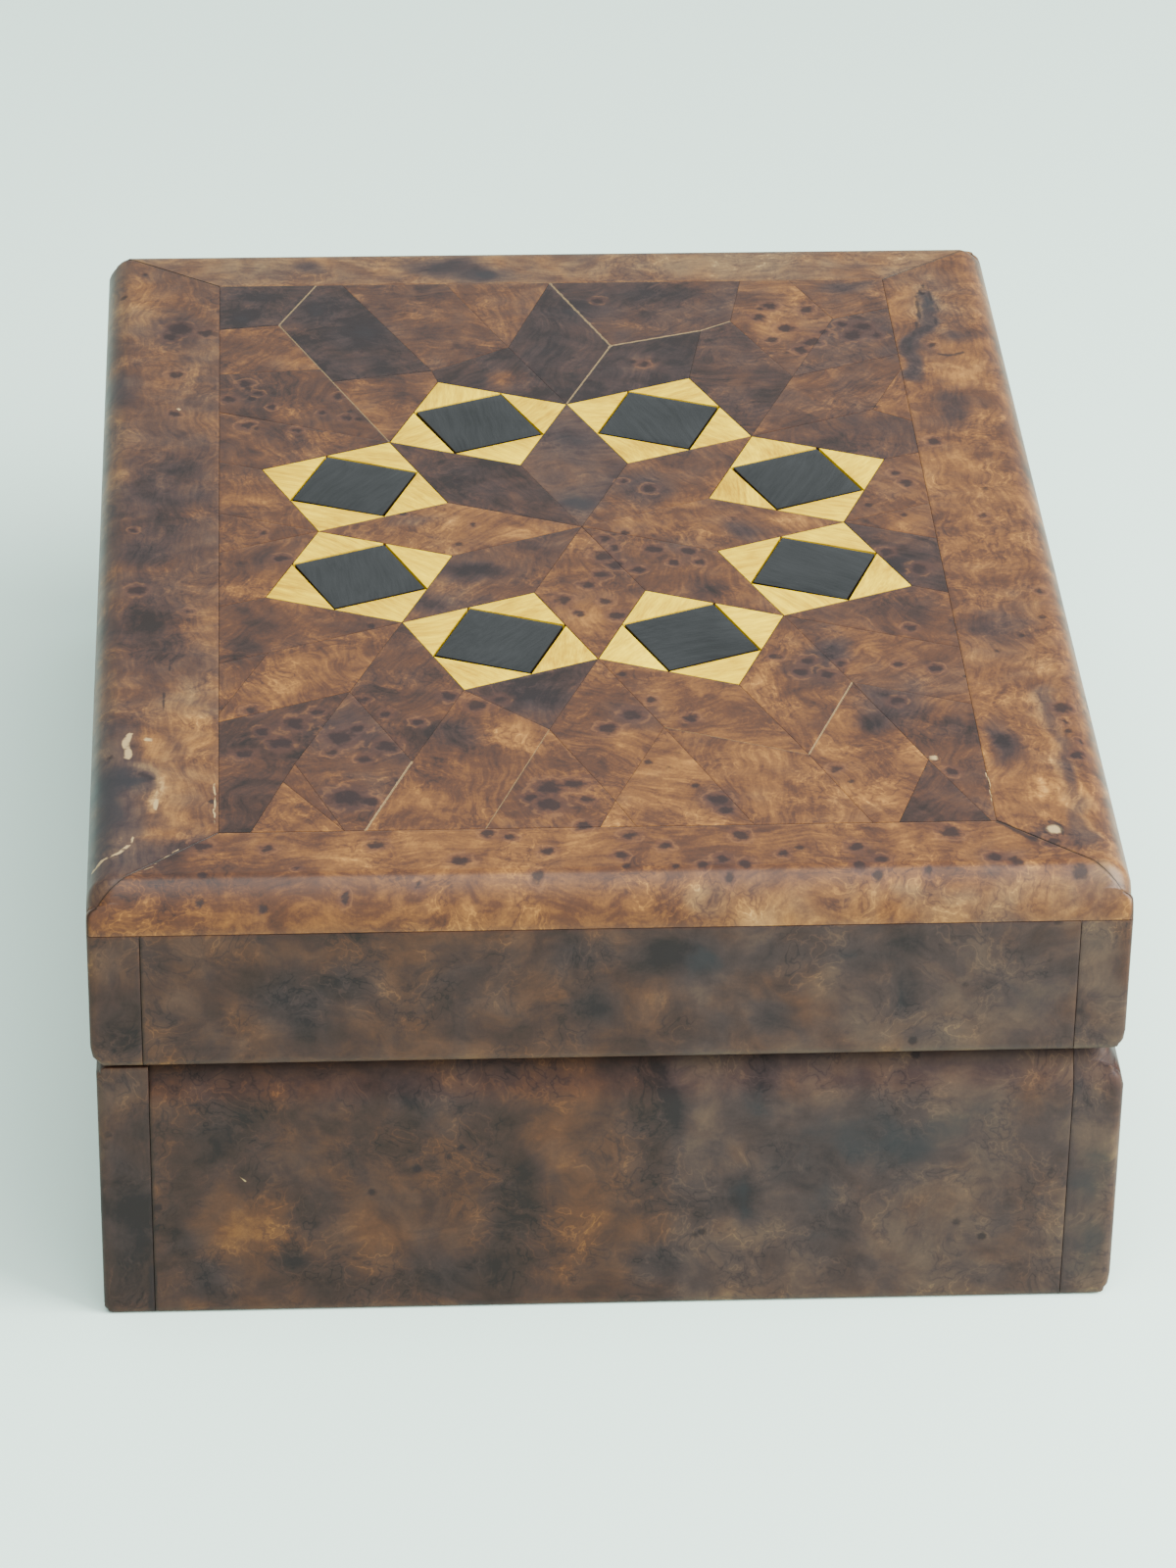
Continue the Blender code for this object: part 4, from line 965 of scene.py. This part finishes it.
BORDER_OPENING_SIDE = {
    "e1": -38.8, "e2": -26.4, "e3": -14.0, "e4": -1.4, "e5": 7.1,
    "e6": 19.5, "e7": 27.5, "e8": 41.0, "e9": 44.8, "e10": 57.3,
}
BORDER_HINGE_SIDE = {
    "h1": 53.4, "h2": 41.5, "h3": 31.8, "h4": 19.3, "h5": 6.8,
    "h6": -2.5, "h7": -15.0, "h8": -27.7, "h9": -38.6, "h10": -40.3,
}
BORDER_FAR = {"f1": 29.5, "f2": 23.4, "f3": -0.3, "f4": -13.2, "f5": -26.0, "f6": -29.2}
BORDER_NEAR = {
    "n1": -37.8, "n2": -27.9, "n3": -25.7, "n4": -13.0, "n5": -0.9, "n6": 2.9,
    "n7": 15.4, "n8": 28.0, "n9": 30.8, "n10": 40.6,
}
MEETINGS = {
    "m1": (34.0, 54.5), "m2": (21.4, 54.1), "m3": (17.6, 51.7), "m4": (-15.6, 41.8), "m5": (-33.9, 54.4),
    "m6": (-29.0, 42.6), "m7": (-27.6, 39.3), "m8": (-33.0, -49.3), "m9": (-20.4, -49.2),
    "m10": (-34.3, -53.0), "m11": (1.0, -57.9), "m12": (22.4, -49.0), "m13": (35.2, -50.5),
}

FIELD_DEPTH = -0.18
# The pieces round the star, by sector: corners, then how light and how grey each piece is
FIELD_PIECES = (
    # opening side
    ("T0 e4 e5", 0.62, 0.25), ("T0 e5 e6 O0", 0.62, 0.22), ("T0 O7 e3 e4", 0.40, 0.50),
    # opening side to far end
    ("T1 O0 e6 e7 A1", 0.48, 0.35), ("A1 e7 e8", 0.74, 0.15), ("T1 A1 e8 e9 B1", 0.58, 0.30),
    ("T1 B1 m2 m3 O1", 0.45, 0.45), ("B1 m1 f1 f2 m2", 0.64, 0.30), ("B1 e9 e10 m1", 0.52, 0.45),
    ("m1 e10 right_far f1", 0.62, 0.35),
    # far end
    ("T2 O1 m3 A2", 0.30, 0.65), ("A2 m3 m2 f2 f3", 0.48, 0.48), ("T2 A2 f3 B2", 0.36, 0.60),
    ("B2 f3 f4", 0.62, 0.30), ("B2 f4 f5 m4", 0.55, 0.32), ("T2 B2 m4 O2", 0.34, 0.52),
    # far end to hinge side
    ("m4 f5 f6 m5 m6 m7", 0.34, 0.56), ("m7 m4 O2 T3", 0.60, 0.18), ("m5 f6 left_far h1", 0.34, 0.60),
    ("m5 h1 h2 m6", 0.62, 0.16), ("m6 h2 h3 T3 m7", 0.50, 0.22), ("T3 h3 h4 O3", 0.54, 0.14),
    # hinge side
    ("O3 h4 h5 T4", 0.64, 0.14), ("T4 h5 h6", 0.62, 0.08), ("T4 h6 h7 O4", 0.62, 0.12),
    # hinge side to near end
    ("O4 h7 h8 A5 T5", 0.54, 0.16), ("A5 h8 h9", 0.58, 0.08), ("T5 A5 h9 h10 B5", 0.64, 0.02),
    ("B5 h10 left_near n1 m10 m8", 0.42, 0.15), ("n1 n2 m10", 0.66, -0.10), ("m10 n2 m8", 0.52, 0.00),
    ("B5 m8 n2 n3 m9", 0.52, 0.35), ("T5 B5 m9 O5", 0.52, 0.22), ("O5 m9 n3 n4 A6", 0.62, 0.00),
    # near end
    ("T6 O5 A6", 0.38, 0.48), ("T6 A6 m11 B6", 0.62, 0.10), ("A6 n4 n5 m11", 0.60, 0.12),
    ("m11 n5 n6", 0.80, -0.20), ("B6 m11 n6 n7", 0.70, -0.02), ("B6 n7 n8 m12", 0.68, 0.08),
    ("T6 B6 m12 O6", 0.68, 0.02),
    # near end to opening side
    ("T7 O6 m12 A7", 0.62, 0.10), ("A7 m12 n8 n9 m13", 0.66, 0.08), ("m13 n9 n10", 0.40, 0.35),
    ("A7 m13 n10 right_near e1", 0.56, 0.25), ("A7 e1 e2 B7 T7", 0.62, 0.18), ("T7 B7 e2 e3 O7", 0.56, 0.16),
)
KITE_TONES = (
    Tone(0.47, 0.16), Tone(0.44, 0.22), Tone(0.36, 0.60), Tone(0.22, 0.35),
    Tone(0.52, 0.14), Tone(0.36, 0.40), Tone(0.48, 0.16), Tone(0.41, 0.20),
)
# Seams filled with paler wood, from corner to corner, and how wide each is
FILLED_SEAMS = (
    ("T2", "A2", 0.26), ("A2", "f3", 0.36), ("A2", "m3", 0.32), ("m5", "f6", 0.26), ("T3", "m5", 0.14),
    ("m9", "n3", 0.34), ("A7", "m12", 0.22), ("A6", "n4", 0.12), ("m3", "m2", 0.22), ("B6", "m12", 0.10),
)


def inset(outline, distance):
    """The outline of a flat piece moved in by a distance all round. It runs anticlockwise."""
    moved = []
    for before, corner, after in zip(np.roll(outline, 1, axis=0), outline, np.roll(outline, -1, axis=0)):
        normals = []
        for start, end in ((before, corner), (corner, after)):
            along = (end - start) / np.linalg.norm(end - start)
            normals.append(np.array([-along[1], along[0]]))
        moved.append(corner + distance * (normals[0] + normals[1]) / (1 + normals[0] @ normals[1]))
    return np.array(moved)


def area(outline):
    x, y = outline[:, 0], outline[:, 1]
    return (x @ np.roll(y, -1) - y @ np.roll(x, -1)) / 2


def veneer(outline, low, high, gap=JOINT_GAP, grid=TOP_GRID):
    """A flat piece with an eased rim, cut into a grid. Returns its points, its faces and how near the rim it is."""
    if area(outline) < 0:
        outline = outline[::-1]
    edge = inset(outline, gap)
    face = inset(edge, VENEER_RIM)
    bm = bmesh.new()
    rim = bm.verts.layers.float.new("rim")
    rings = []
    for ring, z in ((edge, low), (edge, high - VENEER_DROP), (face, high)):
        rings.append([bm.verts.new((x, y, z)) for x, y in ring])
    for vert in rings[0] + rings[1]:
        vert[rim] = 1.0
    bm.faces.new(rings[0][::-1])
    bm.faces.new(rings[2])
    for lower, upper in zip(rings, rings[1:]):
        for i in range(len(edge)):
            bm.faces.new((lower[i - 1], lower[i], upper[i], upper[i - 1]))
    for axis, normal in enumerate(((1, 0, 0), (0, 1, 0))):
        first, last = edge[:, axis].min(), edge[:, axis].max()
        for step in range(math.floor(first / grid) + 1, math.ceil(last / grid)):
            everything = bm.verts[:] + bm.edges[:] + bm.faces[:]
            place = [grid * step * part for part in normal]
            bmesh.ops.bisect_plane(bm, geom=everything, dist=1e-4, plane_co=place, plane_no=normal)
    bm.verts.index_update()
    points = np.array([vert.co[:] for vert in bm.verts])
    faces = [[vert.index for vert in f.verts] for f in bm.faces]
    rim_share = np.array([vert[rim] for vert in bm.verts])
    bm.free()
    return points, faces, rim_share


def uneven(points, rng):
    """Old veneer doesn't lie quite flat: each piece tips by a few hundredths of a millimetre."""
    plan = points[:, :2] - points[:, :2].mean(axis=0)
    tip = np.array([rng.uniform(-0.0012, 0.0012), rng.uniform(-0.0012, 0.0012)])
    top = points[:, 2] > points[:, 2].min() + VENEER_RIM
    points[:, 2] += np.where(top, plan @ tip - 0.015, 0)


def burl_veneer(outline, low, high, tone, rng):
    points, faces, rim = veneer(outline, low, high)
    values = burl_values(points, tone, rng)
    filled = np.maximum(filled_seam_ratio(points[:, :2]), 0.98)
    values["pale"] = np.minimum(values["pale"], filled)
    values["seam"] = 0.16 * rim * (filled > 1.2)
    uneven(points, rng)
    return points, faces, values


def filled_seam_ratio(plan):
    lines = [(width / 2, (SPOTS[start], SPOTS[end])) for start, end, width in FILLED_SEAMS]
    return nearest_line(plan, lines)


def sector_of(outline):
    """Which eighth of the field a piece mostly lies in, counted from the opening side."""
    middle = outline.mean(axis=0) - SPOTS["C"]
    turn = math.degrees(math.atan2(middle[1], middle[0])) - STAR_TURN
    return math.floor(turn % 360 / (360 / STAR_POINTS))


def build_field():
    parts = {sector: [] for sector in range(STAR_POINTS)}
    for number, (corners, light, grey) in enumerate(FIELD_PIECES):
        outline = np.array([SPOTS[name] for name in corners.split()])
        tone = Tone(FIELD_DEPTH + light, grey)
        part = burl_veneer(outline, FIELD.bottom, FIELD.top, tone, random.Random(100 + number))
        parts[sector_of(outline)].append(part)
    for sector, sector_parts in parts.items():
        node = f"field_burl_{sector + 1}"
        make_piece(f"veneer_{sector + 1}", sector_parts, BURL, "lid", [node])


def build_kites():
    for k, tone in enumerate(KITE_TONES):
        corners = ("C", f"I{(k - 1) % STAR_POINTS}", f"T{k}", f"I{k}")
        outline = np.array([SPOTS[name] for name in corners])
        part = burl_veneer(outline, FIELD.bottom, FIELD.top, tone, random.Random(200 + k))
        make_piece(f"kite_{k + 1}", [part], BURL, "lid", [f"star_kite_{k + 1}"])


def build_tiles():
    """Each tile of the star: a square of ebony with a lemonwood triangle on each of its sides."""
    for k in range(STAR_POINTS):
        rng = random.Random(300 + k)
        corners = np.array([SPOTS[name] for name in (f"I{k}", f"T{(k + 1) % STAR_POINTS}", f"O{k}", f"T{k}")])
        if area(corners) < 0:
            corners = corners[::-1]
        tile = inset(corners, TILE_OUTLINE)
        side = np.linalg.norm(tile[1] - tile[0])
        square = []
        triangles = []
        for i in range(4):
            corner = tile[i]
            to_next = (tile[(i + 1) % 4] - corner) / side
            to_last = (tile[i - 1] - corner) / side
            leg_a = side / 2 * rng.uniform(0.98, 1.02)
            leg_b = side / 2 * rng.uniform(0.97, 1.00)
            triangles.append(np.array([corner, corner + to_next * leg_a, corner + to_last * leg_b]))
            square.append(corner + to_next * side / 2 + (tile.mean(axis=0) - corner - to_next * side / 2) * 0.035)
        parts = []
        for outline in triangles:
            points, faces, rim = veneer(outline, FIELD.bottom, FIELD.top, gap=0.02, grid=4 * TOP_GRID)
            values = straight_values(points, rng, rng.uniform(0, math.pi))
            values["seam"] = 0.12 * rim
            uneven(points, rng)
            parts.append((points, faces, values))
        make_piece(f"triangles_{k + 1}", parts, LEMONWOOD, "lid", [f"star_lemonwood_{k + 1}"])
        ebony = span(f"star_ebony_{k + 1}")
        points, faces, rim = veneer(np.array(square), ebony.bottom, FIELD.top, gap=0.02, grid=4 * TOP_GRID)
        values = straight_values(points, rng, rng.uniform(0, math.pi))
        values["seam"] = rim
        uneven(points, rng)
        make_piece(f"square_{k + 1}", [(points, faces, values)], EBONY, "lid", [f"star_ebony_{k + 1}"])


SPOTS = seam_points()

BASE_TONES = {
    "hinge_side": Tone(0.18, 0.45), "opening_side": Tone(0.18, 0.40),
    "near_end": Tone(0.24, 0.32), "far_end": Tone(0.26, 0.36),
}
LID_TONES = {
    "hinge_side": Tone(0.26, 0.45), "opening_side": Tone(0.26, 0.40),
    "near_end": Tone(0.27, 0.34), "far_end": Tone(0.28, 0.36),
}

# ---- The CAD nodes that keep their shape


def finish_cad_nodes():
    for name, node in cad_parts.items():
        if name.startswith(("hinge_", "screw_")):
            set_material(node, BRASS)
        elif name in ("bottom_panel", "lid_core_panel"):
            set_material(node, PLAIN_WOOD)


def set_material(node, material):
    for slot in node.material_slots:
        slot.material = material


# ---- Light, floor and camera


def build_floor():
    mesh = bpy.data.meshes.new("floor")
    half = 3.0
    mesh.from_pydata([(-half, -half, 0), (half, -half, 0), (half, half, 0), (-half, half, 0)], [], [(0, 1, 2, 3)])
    n = Nodes("pale_floor")
    place = n.add("ShaderNodeTexCoord").outputs["Object"]
    n.finish(n.mix(n.noise(place, 9.0, 2.0), (0.75, 0.97, 0.87), (0.77, 0.99, 0.89)), 0.75)
    mesh.materials.append(n.material)
    floor = bpy.data.objects.new("floor", mesh)
    bpy.context.scene.collection.objects.link(floor)


def add_softbox(name, place, aim, size, watts, colour):
    light = bpy.data.lights.new(name, "AREA")
    light.shape = "RECTANGLE"
    light.size, light.size_y = size
    light.energy = watts
    light.color = colour
    lamp = bpy.data.objects.new(name, light)
    lamp.location = place
    lamp.rotation_euler = (Vector(aim) - Vector(place)).to_track_quat("-Z", "Y").to_euler()
    bpy.context.scene.collection.objects.link(lamp)


def build_light():
    world = bpy.data.worlds.new("studio")
    bpy.context.scene.world = world
    world.use_nodes = True
    background = world.node_tree.nodes["Background"]
    background.inputs["Color"].default_value = (0.86, 0.94, 0.92, 1)
    background.inputs["Strength"].default_value = 1.0
    add_softbox("window", (0.50, -0.22, 0.38), (0.05, 0, 0.03), (0.45, 0.45), 12.0, (1.0, 1.0, 0.97))
    add_softbox("overhead", (0.0, -0.4, 0.9), (0, -0.1, 0.0), (0.7, 0.7), 9.0, (0.97, 1.0, 0.99))


def build_camera():
    camera = bpy.data.cameras.new("camera")
    camera.sensor_width = 36
    camera.lens = 136.0
    camera.clip_start = 0.05
    viewer = bpy.data.objects.new("camera", camera)
    viewer.location = (-0.03445, -0.59423, 0.38328)
    viewer.rotation_euler = [math.radians(angle) for angle in (58.6746, -0.7828, -2.9901)]
    bpy.context.scene.collection.objects.link(viewer)
    bpy.context.scene.camera = viewer


build_camera()
build_light()
build_floor()
build_boards()
build_rails()
build_field()
build_kites()
build_tiles()
finish_cad_nodes()
